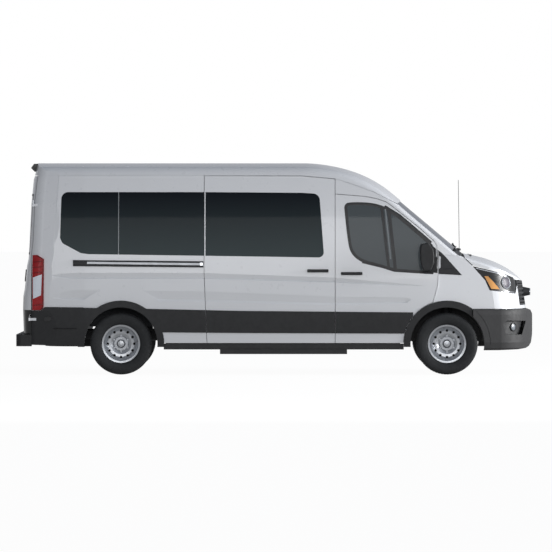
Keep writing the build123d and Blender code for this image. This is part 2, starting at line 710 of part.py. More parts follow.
def make_grille():
    """Frame, slats and centre boss of the grille, following the leaning front."""
    inside = (-GRILLE_HALF, GRILLE_HALF)
    whole = NOSE_SHELL & block((2600, 3100), inside, (GRILLE_FOOT_Z, BONNET_FRONT_Z - 4))
    frame = whole - block((2600, 3100), (-GRILLE_HALF + 24, GRILLE_HALF - 24),
                          (GRILLE_FOOT_Z + 24, BONNET_FRONT_Z - 28))
    pitch = (BONNET_FRONT_Z - GRILLE_FOOT_Z) / (GRILLE_BARS + 1)
    for row in range(1, GRILLE_BARS + 1):
        z = GRILLE_FOOT_Z + row * pitch
        frame += whole & block((2600, 3100), inside, (z - GRILLE_BAR_HIGH / 2, z + GRILLE_BAR_HIGH / 2))
    frame += whole & block((2600, 3100), (-70, 70), (GRILLE_FOOT_Z, BONNET_FRONT_Z - 4))
    boss_long = BADGE_FRONT_X - BADGE_REAR_X
    boss = Cone(BADGE_R, BADGE_R - 24, boss_long)
    frame += Pos(BADGE_REAR_X + boss_long / 2, 0, BADGE_Z) * Rot(0, 90, 0) * boss
    for y in (-BONNET_BUFFER_Y, BONNET_BUFFER_Y):
        frame += rod((BONNET_BUFFER_X, y, BONNET_FRONT_Z - 10), (BONNET_BUFFER_X, y, BONNET_EDGE_Z - SEAT_FIT), 8)
    return frame


def fog_recess(add, near, far):
    outline = [(2610, 584), (2665, 622), (2890, 615), (2840, 458), (2650, 465)]
    return right_prism(grow(polygon(outline), add), near, far)


BUMPER_SIDE = [(2100, BUMPER_TOP_Z), (2890, BUMPER_TOP_Z), (2955, 738), (2984, 690), (2992, 600), (2990, 530), (2984, 448),
               (2964, 361), (2935, 322), (2893, 300), (2793, 288), (2560, 281), (2100, 281)]
# how the bumper's flanks draw in towards its edges: height, inset
BUMPER_ROUND = [(270, 44), (305, 14), (370, 0), (690, 0), (735, 8), (770, 24)]
BUMPER_WIDEN = 14.0
CREASE = 5.0


def make_bumper():
    plans = [nose_plan(FRONT_TIP, BUMPER_WIDEN - inset, 2230, z) for z, inset in BUMPER_ROUND]
    outer = loft(plans, ruled=True) & across(polygon(BUMPER_SIDE))
    inner_plan = nose_plan(FRONT_TIP - BUMPER_WALL, BUMPER_WIDEN - BUMPER_WALL, 2200, BUMPER_FOOT_Z - 20)
    inner = extrude(inner_plan, amount=BUMPER_TOP_Z - BUMPER_FOOT_Z + 60)
    arches = wheel_disc(FRONT_AXLE_X, ARCH_R + LINER_WALL + 2, 520, FAR)
    crease = wheel_disc(FRONT_AXLE_X, FLARE_R + CREASE, 520, FAR) - wheel_disc(FRONT_AXLE_X, FLARE_R, 520, FAR)
    crease -= extrude(nose_plan(FRONT_TIP - CREASE, BUMPER_WIDEN - CREASE, 2200, 0), amount=HIGH / 2)
    behind = block((2000, 2268), (-FAR, FAR), (0, HIGH))
    wings = right_prism(grow(polygon(WING_LINE), SEAT_FIT), 300)
    fogs = fog_recess(0, 560, FAR)
    bumper = outer - inner - behind
    for cut in (arches, crease, wings, fogs):
        bumper -= cut
        bumper -= to_left(cut)
    return bumper


def make_fog_lamp():
    """Closed pocket behind the bumper with a round lamp on it."""
    plan = nose_plan(FRONT_TIP - 40, -18, 2300, 440)
    inner = nose_plan(FRONT_TIP - 55, -33, 2200, 420)
    slab = extrude(plan, amount=200) - extrude(inner, amount=240)
    return slab & fog_recess(-2, 560, FAR)


# ------------------------------------------------------------------ underside
def make_floor():
    slab = block((BODY_REAR_X, 1500), (-840, 840), (FLOOR_Z - FLOOR_THICK, FLOOR_Z))
    dash = block((1500, 1540), (-840, 840), (FLOOR_Z - FLOOR_THICK, 1100))
    floor = slab + dash
    hole = wheel_disc(REAR_AXLE_X, ARCH_R + 14, 700, FAR)
    house = wheel_disc(REAR_AXLE_X, ARCH_R + 14, 700, 880) - wheel_disc(REAR_AXLE_X, ARCH_R, 714, FAR)
    house &= block((-2600, -900), (-1000, 0), (FLOOR_Z - FLOOR_THICK, 2000))
    floor = floor - hole - to_left(hole)
    floor = floor + house + to_left(house)
    front = wheel_disc(FRONT_AXLE_X, ARCH_R + 14, 540, FAR)
    return floor - front - to_left(front)


def make_frame():
    frame = None
    for side in (-1, 1):
        y = side * RAIL_Y
        rail = block((-2780, 2500), (y - RAIL_WIDE / 2, y + RAIL_WIDE / 2), (RAIL_FOOT_Z, RAIL_TOP_Z))
        frame = rail if frame is None else frame + rail
    for x in CROSSMEMBERS_X:
        frame += block((x - 40, x + 40), (-RAIL_Y, RAIL_Y), (RAIL_TOP_Z - 20, FLOOR_Z - FLOOR_THICK))
    return frame


def make_liner():
    """Front wheel-arch liner: a half barrel and its inner wall."""
    barrel = wheel_disc(FRONT_AXLE_X, ARCH_R + LINER_WALL, 540, 940)
    liner = barrel - wheel_disc(FRONT_AXLE_X, ARCH_R, 548, FAR)
    return liner & block((1500, 2460), (-1000, 0), (HUB_Z + 20, 1000))


CLAD_THICK = 10.0
CLAD_TOP_Z = 1500.0
CLAD_ROOM = block((REAR_TIP, 2268), (-FAR, -300), (320, CLAD_TOP_Z))
CLAD_IN_R = master(-GLASS_FIT, 0, SKIRT_Z - 70) & CLAD_ROOM & rear_form(-GLASS_FIT, CLAD_TOP_Z)
CLAD_OUT_R = master(-CLAD_THICK, 0, SKIRT_Z - 60) & CLAD_ROOM & rear_form(-CLAD_THICK, CLAD_TOP_Z)
LOW_ROOM = block((BODY_REAR_X, 2268), (-FAR, -300), (320, HUB_Z + FLARE_R + 20))
CLAD_SKIN = (CLAD_OUT_R & LOW_ROOM) - (CLAD_IN_R & LOW_ROOM)


CLAD_BAND = [(-2660, 780), (-1448, 759), (-413, 736), (1577, 719), (1577, 475), (-413, 482), (-2660, 499)]


# the black corner behind the rear wheel, (X, Z)
CLAD_CORNER = [(BODY_REAR_X, 741), (-2699, 741), (-2664, 774), (-2660, 780), (-2215, 776), (-2215, 326),
               (BODY_REAR_X, 344)]


def rear_cladding():
    """Black band and wheel-arch flare on the rear quarter; runs to the cab on a side with no sliding door."""
    band = CLAD_SKIN & right_prism(polygon(CLAD_BAND), 300)
    corner = CLAD_SKIN & right_prism(polygon(CLAD_CORNER), 300)
    flare = CLAD_SKIN & wheel_disc(REAR_AXLE_X, FLARE_R, 520, FAR)
    x, y, z, jamb_x = REAR_HINGES[0]
    leaf = block((BODY_REAR_X - 5, x + LEAF_LONG + SEAT_FIT), (-FAR, -300),
                 (z - LEAF_DROP[0] - SEAT_FIT, z - LEAF_DROP[1] + SEAT_FIT))
    return (band + flare + corner) - REAR_ARCH - leaf - arch_cut(FRONT_AXLE_X, FLARE_R + PANEL_GAP)


def front_flare():
    return (CLAD_SKIN & wheel_disc(FRONT_AXLE_X, FLARE_R, 520, FAR)) - FRONT_ARCH


def door_band(face):
    """The part of the black band that a door carries."""
    return CLAD_SKIN & right_prism(polygon(CLAD_BAND), 300) & right_prism(face, 300)


def make_handle(x, z):
    """Pull handle on a door: a rounded bar on two feet; x is its (rear, front) range."""
    bar = block(x, (-1046, -1026), (z - 17, z + 17))
    bar = fillet(bar.edges(), 9)
    for foot_x in (x[0] + 30, x[1] - 30):
        bar += block((foot_x - 18, foot_x + 18), (-1036, -960), (z - 13, z + 13))
    return bar - OUTER_R


SLIDE_HANDLE = ((359, 605), 1197)
FRONT_HANDLE = ((746, 994), 1166)
SILL_X = (-1290.0, 1470.0)
SILL_TOP_Z = 358.0
SILL_FOOT_Z = 291.0


def make_sill():
    """Black sill under the doors, hung from the body side's inner foot."""
    sill = block(SILL_X, (-978, -880), (SILL_FOOT_Z, SILL_TOP_Z))
    sill += block((SILL_X[0] + 20, -830), (-925, -890), (SILL_TOP_Z, SKIRT_Z - SEAT_FIT))
    return sill


def make_cladding():
    whole = rear_cladding()
    door = right_prism(grow(front_door_face(), PANEL_GAP), 300)
    plain = whole - door
    slide = slide_door_face()
    split = plain - right_prism(grow(slide, PANEL_GAP), 300)
    flare = front_flare().solids().sort_by(SortBy.VOLUME)[-1]
    rear = [split.solids().sort_by(SortBy.VOLUME)[-1], door_band(slide).solids()[0], flare, make_sill().solid()]
    rear.append(make_handle(*SLIDE_HANDLE).solids().sort_by(SortBy.VOLUME)[-1])
    left = [plain.solids().sort_by(SortBy.VOLUME)[-1], flare, make_sill().solid()]
    return Compound(children=rear + [to_left(solid) for solid in left])


def make_door_trim():
    """Black pieces that a front door carries: the mirror and its part of the side band."""
    handle = make_handle(*FRONT_HANDLE).solids().sort_by(SortBy.VOLUME)[-1]
    return Compound(children=[make_mirror().solid(), door_band(front_door_face()).solids()[0], handle])


def make_track():
    face = polygon([(-2333, 1250), (SLIDE_DOOR_REAR_X - 12, 1236), (SLIDE_DOOR_REAR_X - 12, 1306), (-2333, 1320)])
    return ((master(-14, 0) & RIGHT_HALF) - CLAD_IN_R) & right_prism(face, 300)


def make_running_board():
    board = block((-643, 818), (-1010, -760), (239, SILL_FOOT_Z - SEAT_FIT))
    for x in (-500, 80, 660):
        board += block((x - 20, x + 20), (-800, -RAIL_Y - RAIL_WIDE / 2 - 0.3), (280, 340))
        board += block((x - 20, x + 20), (-RAIL_Y - RAIL_WIDE / 2 - 60, -RAIL_Y - RAIL_WIDE / 2 - 0.3), (280, 480))
    return board


def make_rear_bumper():
    bumper = block((REAR_TIP, -2690), (-950, 950), (327, 462))
    bumper = fillet(bumper.edges().filter_by(Axis.Z).filter_by(lambda e: e.center().X < -2900), 60)
    bumper -= block((-2940, -2600), (-870, 870), (300, 430))
    bumper -= block((BODY_REAR_X - SEAT_FIT, -2600), (-FAR, FAR), (300, 600))
    return bumper - (OUTER & block((BODY_REAR_X - 5, -2600), (-FAR, FAR), (300, 600)))


# ------------------------------------------------------------------ wheels and running gear
def make_tyre(x, y):
    half = TYRE_WIDTH / 2
    points = [(RIM_R + 0.3, -half + 20), (TYRE_R - 60, -half), (TYRE_R - 14, -half + 12), (TYRE_R, -half + 45),
              (TYRE_R, half - 45), (TYRE_R - 14, half - 12), (TYRE_R - 60, half), (RIM_R + 0.3, half - 20)]
    return Pos(x, y, HUB_Z) * revolve(polygon(points), Axis.Y)


def make_rim():
    """Pressed steel wheel, its vented disc facing outwards."""
    half = TYRE_WIDTH / 2 - 20
    well = [(RIM_R, -half), (RIM_R, -half + 12), (RIM_R - 14, -half + 14), (RIM_R - 14, half - 14),
            (RIM_R, half - 12), (RIM_R, half), (RIM_R - 20, half - 4), (RIM_R - 22, 0), (RIM_R - 20, -half + 4)]
    dish = [(50, -40), (78, -40), (92, -54), (120, -72), (150, -76), (178, -50), (RIM_R - 18, -40),
            (RIM_R - 18, -28), (170, -36), (150, -64), (122, -60), (96, -42), (80, -28), (50, -28)]
    plate = revolve(polygon(dish), Axis.Y)
    cap = [(0, -74), (40, -70), (52, -40), (52, -28), (0, -28)]
    for k in range(SLOT_COUNT):
        hole = Pos(SLOT_CIRCLE_R, 0, 0) * Rot(90, 0, 0) * Cylinder(15, 240)
        plate -= Rot(0, 360 / SLOT_COUNT * k, 0) * hole
    rim = revolve(polygon(well), Axis.Y) + plate + revolve(polygon(cap), Axis.Y)
    for k in range(NUT_COUNT):
        nut = Pos(NUT_CIRCLE_R - 22, -44, 0) * Rot(90, 0, 0) * Cylinder(11, 26)
        rim += Rot(0, 360 / NUT_COUNT * k, 0) * nut
    return rim


def make_knuckle():
    """Right-hand steering knuckle with its hub, about the kingpin."""
    hub = wheel_disc(FRONT_AXLE_X, 60, KINGPIN_Y, HUB_FACE_Y)
    upright = block((FRONT_AXLE_X - 45, FRONT_AXLE_X + 45), (-KINGPIN_Y - 2, -KINGPIN_Y + 38),
                    (HUB_Z - 110, HUB_Z + 130))
    return hub + upright


STRUT_R = 45.0


def make_front_suspension():
    beam = block((FRONT_AXLE_X - 70, FRONT_AXLE_X + 70), (-440, 440), (300, RAIL_FOOT_Z - 0.3))
    arm = block((FRONT_AXLE_X - 40, FRONT_AXLE_X + 40), (-KINGPIN_Y, -440), (205, HUB_Z - 110.3))
    web = block((FRONT_AXLE_X - 40, FRONT_AXLE_X + 40), (-500, -430), (205, 330))
    strut_top = HUB_Z + sqrt(ARCH_R ** 2 - STRUT_R ** 2) - 0.3
    strut = rod((FRONT_AXLE_X, -670, 340), (FRONT_AXLE_X, -670, strut_top), STRUT_R)
    foot = block((FRONT_AXLE_X - 30, FRONT_AXLE_X + 30), (-700, -640), (230, 345))
    side = arm + web + strut + foot
    return beam + side + to_left(side)


def make_rear_axle():
    tube = Pos(REAR_AXLE_X, 0, HUB_Z) * Rot(90, 0, 0) * Cylinder(42, 2 * HUB_FACE_Y)
    diff = Pos(REAR_AXLE_X, 0, HUB_Z) * Sphere(150)
    diff &= block((REAR_AXLE_X - 150, REAR_AXLE_X + 150), (-150, 150), (HUB_Z - 125, HUB_Z + 125))
    return tube + diff


def make_leaf_spring():
    z = HUB_Z + 42.3
    leaf = block((REAR_AXLE_X - 620, REAR_AXLE_X + 620), (-600, -530), (z, z + 26))
    hanger = []
    for x in (REAR_AXLE_X - 600, REAR_AXLE_X + 600):
        hanger.append(block((x - 20, x + 20), (-590, -RAIL_Y - RAIL_WIDE / 2 - 0.3), (z + 20, RAIL_TOP_Z - 10)))
    return leaf + hanger


def make_propshaft():
    return rod((1249.7, 0, 432), (REAR_AXLE_X + 149.7, 0, 400), 32)


def make_exhaust():
    pipe = rod((1700, -250, 400), (-1300, -250, 400), 28)
    return pipe + rod((-500, -250, 400), (250, -250, 400), RAIL_TOP_Z - 20 - SEAT_FIT - 400)


def make_fuel_tank():
    tank = block((150, 1050), (RAIL_Y + 45, 830), (290, FLOOR_Z - FLOOR_THICK - SEAT_FIT))
    return fillet(tank.edges().filter_by(Axis.X), 40)


def make_spare_wheel():
    return Pos(-2350, 0, RAIL_TOP_Z - 20.3 - 85) * Cylinder(345, 170)


def make_engine():
    engine = block((1850, 2400), (-300, 300), (505, 1080))
    gearbox = block((1250, 1850), (-180, 180), (405, 545))
    return engine + gearbox


# ------------------------------------------------------------------ cabin
COLUMN = Location((1405, 430, 1225), (0, -62, 0))
SHAFT_R = 16.0
SHAFT_LONG = 260.0
SHAFT_FIT = 0.05


def make_dashboard():
    """Dashboard across the cab, with the steering column's jacket."""
    face = polygon([(1500, 1100), (1500, 1170), (1560, 1240), (1700, 1280), (1980, 1280), (2040, 1200), (1700, 1103)])
    jacket = COLUMN * (Pos(0, 0, -40 - SHAFT_LONG / 2) * Cylinder(42, SHAFT_LONG - 20))
    bore = COLUMN * (Pos(0, 0, -SHAFT_LONG / 2) * Cylinder(SHAFT_R + SHAFT_FIT, SHAFT_LONG + 10))
    return (PILLAR_IN & across(face)) + jacket - bore


def seat(x, y, width, floor_z=FLOOR_Z):
    """One bench: leg, cushion and raked back; x is the cushion's rear edge."""
    near = (y - width / 2, y + width / 2)
    cushion = block((x, x + 440), near, (floor_z + 300, floor_z + 430))
    back_face = polygon([(x - 90, floor_z + 310), (x + 30, floor_z + 310), (x - 100, floor_z + 1050),
                         (x - 200, floor_z + 1050)], 30)
    back = extrude(Plane.XZ.offset(-near[1]) * back_face, amount=width)
    leg = block((x + 60, x + 380), (near[0] + 40, near[1] - 40), (floor_z + 0.3, floor_z + 300))
    return cushion + back + leg


# columns: cushion rear X, centre Y, width
CAB_SEATS = [(880, 440, 480), (880, -370, 860)]
BENCHES = [(-150, 380, 860), (-950, 380, 860), (-950, -590, 430), (-1750, 0, 1260)]


def make_seats(rows):
    return Compound(children=[seat(x, y, width) for x, y, width in rows])


def make_steering_wheel():
    rim = Torus(190, 14)
    hub = Cylinder(60, 40)
    spokes = Box(370, 36, 14) + Pos(0, -95, 0) * Box(36, 180, 14)
    shaft = Pos(0, 0, -SHAFT_LONG / 2) * Cylinder(SHAFT_R, SHAFT_LONG)
    return COLUMN * (rim + hub + spokes + shaft)


def make_antenna():
    return rod((2112, -930, 1250), (2098, -930, 2240), 3) - NOSE - OUTER


def build():
    parts = {}
    side_right, side_left = make_body_sides()
    parts["floor_pan"] = make_floor()
    parts["chassis_frame"] = make_frame()
    parts["body_side_right"] = side_right
    parts["body_side_left"] = to_left(side_left)
    parts["roof_panel"] = make_roof()
    parts["front_wings"] = pair(make_wing())
    parts["scuttle_panel"] = make_scuttle()
    parts["windscreen"] = make_windscreen()
    panes = [pane(band_face(index)).solid() for index in range(3)]
    parts["side_glass_right"] = Compound(children=panes)
    parts["side_glass_left"] = Compound(children=[to_left(sheet) for sheet in panes])
    parts["sliding_door"] = make_sliding_door()
    parts["door_track"] = make_track()
    parts["side_cladding"] = make_cladding()
    parts["running_board"] = make_running_board()
    parts["front_bumper"] = make_bumper()
    parts["front_fascia"] = make_fascia()
    parts["grille"] = make_grille()
    parts["headlamps"] = pair(make_headlamp())
    parts["fog_lamps"] = pair(make_fog_lamp())
    parts["tail_lamps"] = pair(make_tail_lamp())
    parts["rear_bumper"] = make_rear_bumper()
    parts["antenna"] = make_antenna()
    parts["high_brake_lamp"] = make_brake_lamp()
    parts["wheel_liners"] = pair(make_liner())
    parts["dashboard"] = make_dashboard()
    parts["cab_seats"] = make_seats(CAB_SEATS)
    parts["passenger_seats"] = make_seats(BENCHES)
    springs = make_leaf_spring()
    parts["rear_axle"] = make_rear_axle()
    parts["leaf_springs"] = pair(springs)
    parts["propshaft"] = make_propshaft()
    parts["exhaust"] = make_exhaust()
    parts["fuel_tank"] = make_fuel_tank()
    parts["spare_wheel"] = make_spare_wheel()
    parts["engine_block"] = make_engine()
    parts["front_suspension"] = make_front_suspension()
    parts["bonnet"] = make_bonnet()
    parts["steering_wheel"] = make_steering_wheel()
    door = make_front_door()
    glass = pane(front_pane_face())
    trim = make_door_trim()
    rim = make_rim()
    rear_door = make_rear_door()
    for side, place in (("right", lambda shape: shape), ("left", to_left)):
        parts["front_door_" + side] = place(door)
        parts["front_door_glass_" + side] = place(glass)
        parts["front_door_trim_" + side] = place(trim)
        parts["rear_door_" + side] = place(rear_door)
        parts["rear_glass_" + side] = place(make_rear_glass())
        parts["knuckle_" + side] = place(make_knuckle())
        y = -TRACK / 2 if side == "right" else TRACK / 2
        for end_name, x in (("front", FRONT_AXLE_X), ("rear", REAR_AXLE_X)):
            parts["tyre_" + end_name + "_" + side] = make_tyre(x, y)
            parts["rim_" + end_name + "_" + side] = Pos(x, y, HUB_Z) * place(rim)
    os.makedirs("parts", exist_ok=True)
    for name, shape in parts.items():
        export_step(shape, "parts/" + name + ".step")


build()
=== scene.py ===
import bmesh
import bpy
import json
from math import atan2, cos, pi, radians, sin, sqrt
from mathutils import Matrix, Vector
from mathutils.bvhtree import BVHTree

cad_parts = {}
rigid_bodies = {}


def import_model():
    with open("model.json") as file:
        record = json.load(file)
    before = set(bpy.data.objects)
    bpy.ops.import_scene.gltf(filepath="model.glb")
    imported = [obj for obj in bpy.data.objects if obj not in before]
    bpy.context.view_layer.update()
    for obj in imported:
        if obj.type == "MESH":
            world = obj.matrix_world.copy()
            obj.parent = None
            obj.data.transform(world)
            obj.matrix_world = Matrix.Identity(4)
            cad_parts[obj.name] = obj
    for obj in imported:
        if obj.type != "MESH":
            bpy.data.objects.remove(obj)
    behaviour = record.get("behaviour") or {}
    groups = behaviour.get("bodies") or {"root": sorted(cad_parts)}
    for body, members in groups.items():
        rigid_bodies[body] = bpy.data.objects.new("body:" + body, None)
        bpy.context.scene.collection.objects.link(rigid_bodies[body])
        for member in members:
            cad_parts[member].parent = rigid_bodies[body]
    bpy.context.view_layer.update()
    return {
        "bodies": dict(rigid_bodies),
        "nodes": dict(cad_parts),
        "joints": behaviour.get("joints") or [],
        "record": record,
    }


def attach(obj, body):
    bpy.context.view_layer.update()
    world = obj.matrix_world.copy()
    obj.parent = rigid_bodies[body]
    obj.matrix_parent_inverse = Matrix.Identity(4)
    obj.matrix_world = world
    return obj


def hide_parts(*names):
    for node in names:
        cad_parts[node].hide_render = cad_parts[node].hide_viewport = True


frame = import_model()
NODES = frame["nodes"]
SIDES = {"right": -1, "left": 1}

# ------------------------------------------------------------------ camera, floor and light
CAMERA_AT = Vector((0.093, -60.95, 1.884))
CAMERA_AIM = Vector((0.001, -0.95, 1.136))
LENS_MM = 340.2


def add_camera():
    data = bpy.data.cameras.new("camera")
    data.lens = LENS_MM
    data.sensor_width = 36.0
    data.clip_start = 1.0
    data.clip_end = 400.0
    camera = bpy.data.objects.new("camera", data)
    camera.location = CAMERA_AT
    camera.rotation_euler = (CAMERA_AIM - CAMERA_AT).to_track_quat("-Z", "Y").to_euler()
    bpy.context.scene.collection.objects.link(camera)
    bpy.context.scene.camera = camera


def add_area(name, place, aim, size, power):
    data = bpy.data.lights.new(name, "AREA")
    data.shape = "RECTANGLE"
    data.size, data.size_y = size
    data.energy = power
    lamp = bpy.data.objects.new(name, data)
    lamp.location = place
    lamp.rotation_euler = (Vector(aim) - Vector(place)).to_track_quat("-Z", "Y").to_euler()
    bpy.context.scene.collection.objects.link(lamp)


HORIZON = (0.57, 0.58, 0.61)
ZENITH = (0.20, 0.22, 0.26)
DIM_BEHIND = 0.40
BRIGHT_AHEAD = 1.45


def add_world():
    """White to the eye; as a light, bright at the horizon and dim overhead."""
    world = bpy.data.worlds.new("studio")
    world.use_nodes = True
    bpy.context.scene.world = world
    tree = world.node_tree
    tree.nodes.clear()
    path = tree.nodes.new("ShaderNodeLightPath")
    seen = tree.nodes.new("ShaderNodeBackground")
    seen.inputs["Color"].default_value = (1, 1, 1, 1)
    seen.inputs["Strength"].default_value = 1.0
    place = tree.nodes.new("ShaderNodeTexCoord")
    split = tree.nodes.new("ShaderNodeSeparateXYZ")
    tree.links.new(place.outputs["Generated"], split.inputs[0])
    rise = tree.nodes.new("ShaderNodeMapRange")
    rise.inputs["From Min"].default_value = 0.0
    rise.inputs["From Max"].default_value = 0.8
    tree.links.new(split.outputs[2], rise.inputs["Value"])
    blend = tree.nodes.new("ShaderNodeMix")
    blend.data_type = "RGBA"
    blend.inputs[6].default_value = (*HORIZON, 1)
    blend.inputs[7].default_value = (*ZENITH, 1)
    tree.links.new(rise.outputs[0], blend.inputs["Factor"])
    light = tree.nodes.new("ShaderNodeBackground")
    tree.links.new(blend.outputs[2], light.inputs["Color"])
    ahead = tree.nodes.new("ShaderNodeMapRange")
    ends = {"From Min": -1.0, "From Max": 1.0, "To Min": DIM_BEHIND, "To Max": BRIGHT_AHEAD}
    for end, value in ends.items():
        ahead.inputs[end].default_value = value
    tree.links.new(split.outputs[0], ahead.inputs["Value"])
    tree.links.new(ahead.outputs[0], light.inputs["Strength"])
    mix = tree.nodes.new("ShaderNodeMixShader")
    out = tree.nodes.new("ShaderNodeOutputWorld")
    tree.links.new(path.outputs["Is Camera Ray"], mix.inputs[0])
    tree.links.new(light.outputs[0], mix.inputs[1])
    tree.links.new(seen.outputs[0], mix.inputs[2])
    tree.links.new(mix.outputs[0], out.inputs[0])


# ------------------------------------------------------------------ materials
class Nodes:
    """A material's node tree with short calls for what this scene uses."""

    def __init__(self, name):
        self.material = bpy.data.materials.new(name)
        self.material.use_nodes = True
        self.tree = self.material.node_tree
        self.tree.nodes.clear()
        self.out = self.tree.nodes.new("ShaderNodeOutputMaterial")
        self.place = self.tree.nodes.new("ShaderNodeTexCoord").outputs["Object"]

    def new(self, kind, **inputs):
        node = self.tree.nodes.new("ShaderNode" + kind)
        for key, value in inputs.items():
            self.give(node.inputs[key.replace("_", " ")], value)
        return node

    def give(self, socket, value):
        if isinstance(value, bpy.types.NodeSocket):
            self.tree.links.new(value, socket)
        elif isinstance(value, tuple) and len(value) == 3 and len(socket.default_value) == 4:
            socket.default_value = (*value, 1.0)
        else:
            socket.default_value = value

    def noise(self, scale, detail=3.0):
        node = self.new("TexNoise", Vector=self.place, Scale=scale, Detail=detail, Roughness=0.55)
        return node.outputs["Fac"]

    def ranged(self, value, low, high, to_low=0.0, to_high=1.0):
        node = self.new("MapRange", Value=value)
        node.inputs["From Min"].default_value = low
        node.inputs["From Max"].default_value = high
        node.inputs["To Min"].default_value = to_low
        node.inputs["To Max"].default_value = to_high
        return node.outputs["Result"]

    def mixed(self, factor, first, second):
        node = self.tree.nodes.new("ShaderNodeMix")
        node.data_type = "RGBA"
        self.give(node.inputs["Factor"], factor)
        self.give(node.inputs[6], first)
        self.give(node.inputs[7], second)
        return node.outputs[2]

    def maths(self, operation, first, second):
        node = self.tree.nodes.new("ShaderNodeMath")
        node.operation = operation
        self.give(node.inputs[0], first)
        self.give(node.inputs[1], second)
        return node.outputs[0]

    def bump(self, height, strength, distance):
        return self.new("Bump", Height=height, Strength=strength, Distance=distance).outputs[0]

    def principled(self, **inputs):
        node = self.new("BsdfPrincipled", **inputs)
        self.tree.links.new(node.outputs[0], self.out.inputs[0])
        return node


def shaded(colour, factor):
    return tuple(min(1.0, c * factor) for c in colour)


def srgb(red, green, blue):
    def linear(v):
        v = v / 255
        return v / 12.92 if v <= 0.04045 else ((v + 0.055) / 1.055) ** 2.4

    return tuple(linear(v) for v in (red, green, blue))


def plain(name, colour, rough=0.5, metal=0.0, coat=0.0, spread=0.06, spots=9.0, grain=900.0, depth=0.25,
          rough_spread=0.08, specular=0.5):
    """A finish with colour mottling, uneven gloss and a fine grain."""
    n = Nodes(name)
    mottle = n.noise(spots)
    tone = n.mixed(n.ranged(mottle, 0.3, 0.7), shaded(colour, 1 - spread), shaded(colour, 1 + spread))
    dull, bright = min(1, rough + rough_spread), max(0.02, rough - rough_spread)
    gloss = n.ranged(n.noise(spots * 2.7), 0.25, 0.75, bright, dull)
    normal = n.bump(n.noise(grain, 2.0), depth, 0.0006)
    shader = n.principled(Base_Color=tone, Roughness=gloss, Normal=normal)
    shader.inputs["Metallic"].default_value = metal
    shader.inputs["Coat Weight"].default_value = coat
    shader.inputs["Coat Roughness"].default_value = 0.05
    shader.inputs["Specular IOR Level"].default_value = specular
    return n.material


def paint_finish(name, black_to=None):
    """White enamel under lacquer: orange peel and road dust towards the sills."""
    n = Nodes(name)
    split = n.new("SeparateXYZ", Vector=n.place).outputs
    film = n.maths("MULTIPLY", n.ranged(split[2], 0.95, 0.3), n.ranged(n.noise(2.0, 2.0), 0.3, 0.75))
    base = n.mixed(n.ranged(n.noise(2.2), 0.3, 0.7), srgb(231, 233, 236), srgb(233, 235, 238))
    tone = n.mixed(n.maths("MULTIPLY", film, 0.015), base, srgb(150, 142, 130))
    if black_to is not None:
        tone = n.mixed(n.ranged(split[2], black_to - 0.001, black_to + 0.001), srgb(34, 35, 37), tone)
    gloss = n.maths("ADD", n.ranged(n.noise(14.0), 0.3, 0.7, 0.27, 0.30), n.maths("MULTIPLY", film, 0.04))
    peel = n.bump(n.noise(260.0, 1.0), 0.05, 0.0005)
    shader = n.principled(Base_Color=tone, Roughness=gloss, Normal=peel)
    shader.inputs["Coat Weight"].default_value = 0.6
    shader.inputs["Coat Roughness"].default_value = 0.04
    return n.material


def glass_finish(name, tint_and_reflection, through, top=None, low_z=1.35, high_z=2.1, shine=0.3):
    """Glass seen from outside: a tinted see-through body under a glossy face; its colour shifts with height from
    the low tone to the top tone as painted reflection and shade.
    """
    n = Nodes(name)
    split = n.new("SeparateXYZ", Vector=n.place).outputs
    smear = n.ranged(n.noise(3.0, 6.0), 0.35, 0.8, 0.0, 1.0)
    gloss = n.maths("ADD", n.maths("MULTIPLY", smear, 0.05), 0.03)
    # Painted reflection and shade: the colour changes with height between low_z and high_z, not with the glass
    # itself.
    tone = n.mixed(n.ranged(split[2], low_z, high_z), tint_and_reflection, top or tint_and_reflection)
    body = n.new("BsdfPrincipled", Base_Color=tone, Roughness=gloss)
    body.inputs["Specular IOR Level"].default_value = shine
    body.inputs["Normal"].default_value = (0, 0, 0)
    n.give(body.inputs["Normal"], n.bump(n.noise(1.6, 1.0), 0.02, 0.002))
    clear = n.new("BsdfTransparent", Color=shaded((1, 1, 1), through))
    mix = n.tree.nodes.new("ShaderNodeMixShader")
    n.give(mix.inputs[0], n.maths("ADD", n.maths("MULTIPLY", smear, 0.02), through))
    n.tree.links.new(body.outputs[0], mix.inputs[1])
    n.tree.links.new(clear.outputs[0], mix.inputs[2])
    n.tree.links.new(mix.outputs[0], n.out.inputs[0])
    return n.material


PAINT = paint_finish("body_paint")
REAR_PAINT = paint_finish("rear_door_paint", 0.745)
BLACK = plain("black_plastic", srgb(34, 35, 37), 0.55, spread=0.10, grain=1500.0, depth=0.5)
GREY = plain("grey_plastic", srgb(50, 50, 51), 0.6, spread=0.08, grain=1300.0, depth=0.5)
SATIN = plain("satin_black", srgb(22, 23, 24), 0.32, spread=0.10, grain=900.0, depth=0.2)
RUBBER = plain("tyre_rubber", srgb(36, 38, 40), 0.72, spread=0.12, spots=16.0, grain=700.0, depth=0.5)
STEEL = plain("wheel_steel", srgb(196, 199, 203), 0.33, metal=0.65, coat=0.3, spread=0.05, spots=20.0)
CHASSIS = plain("chassis_metal", srgb(44, 45, 47), 0.6, metal=0.4, spread=0.15, spots=12.0)
CLOTH = plain("seat_cloth", srgb(46, 48, 52), 0.9, spread=0.15, spots=60.0, grain=1200.0, depth=0.8)
MATTING = plain("floor_covering", srgb(52, 54, 57), 0.85, spread=0.12, spots=30.0, grain=500.0, depth=0.6)
TRIM = plain("dash_plastic", srgb(38, 39, 41), 0.6, spread=0.08, grain=1500.0, depth=0.6)
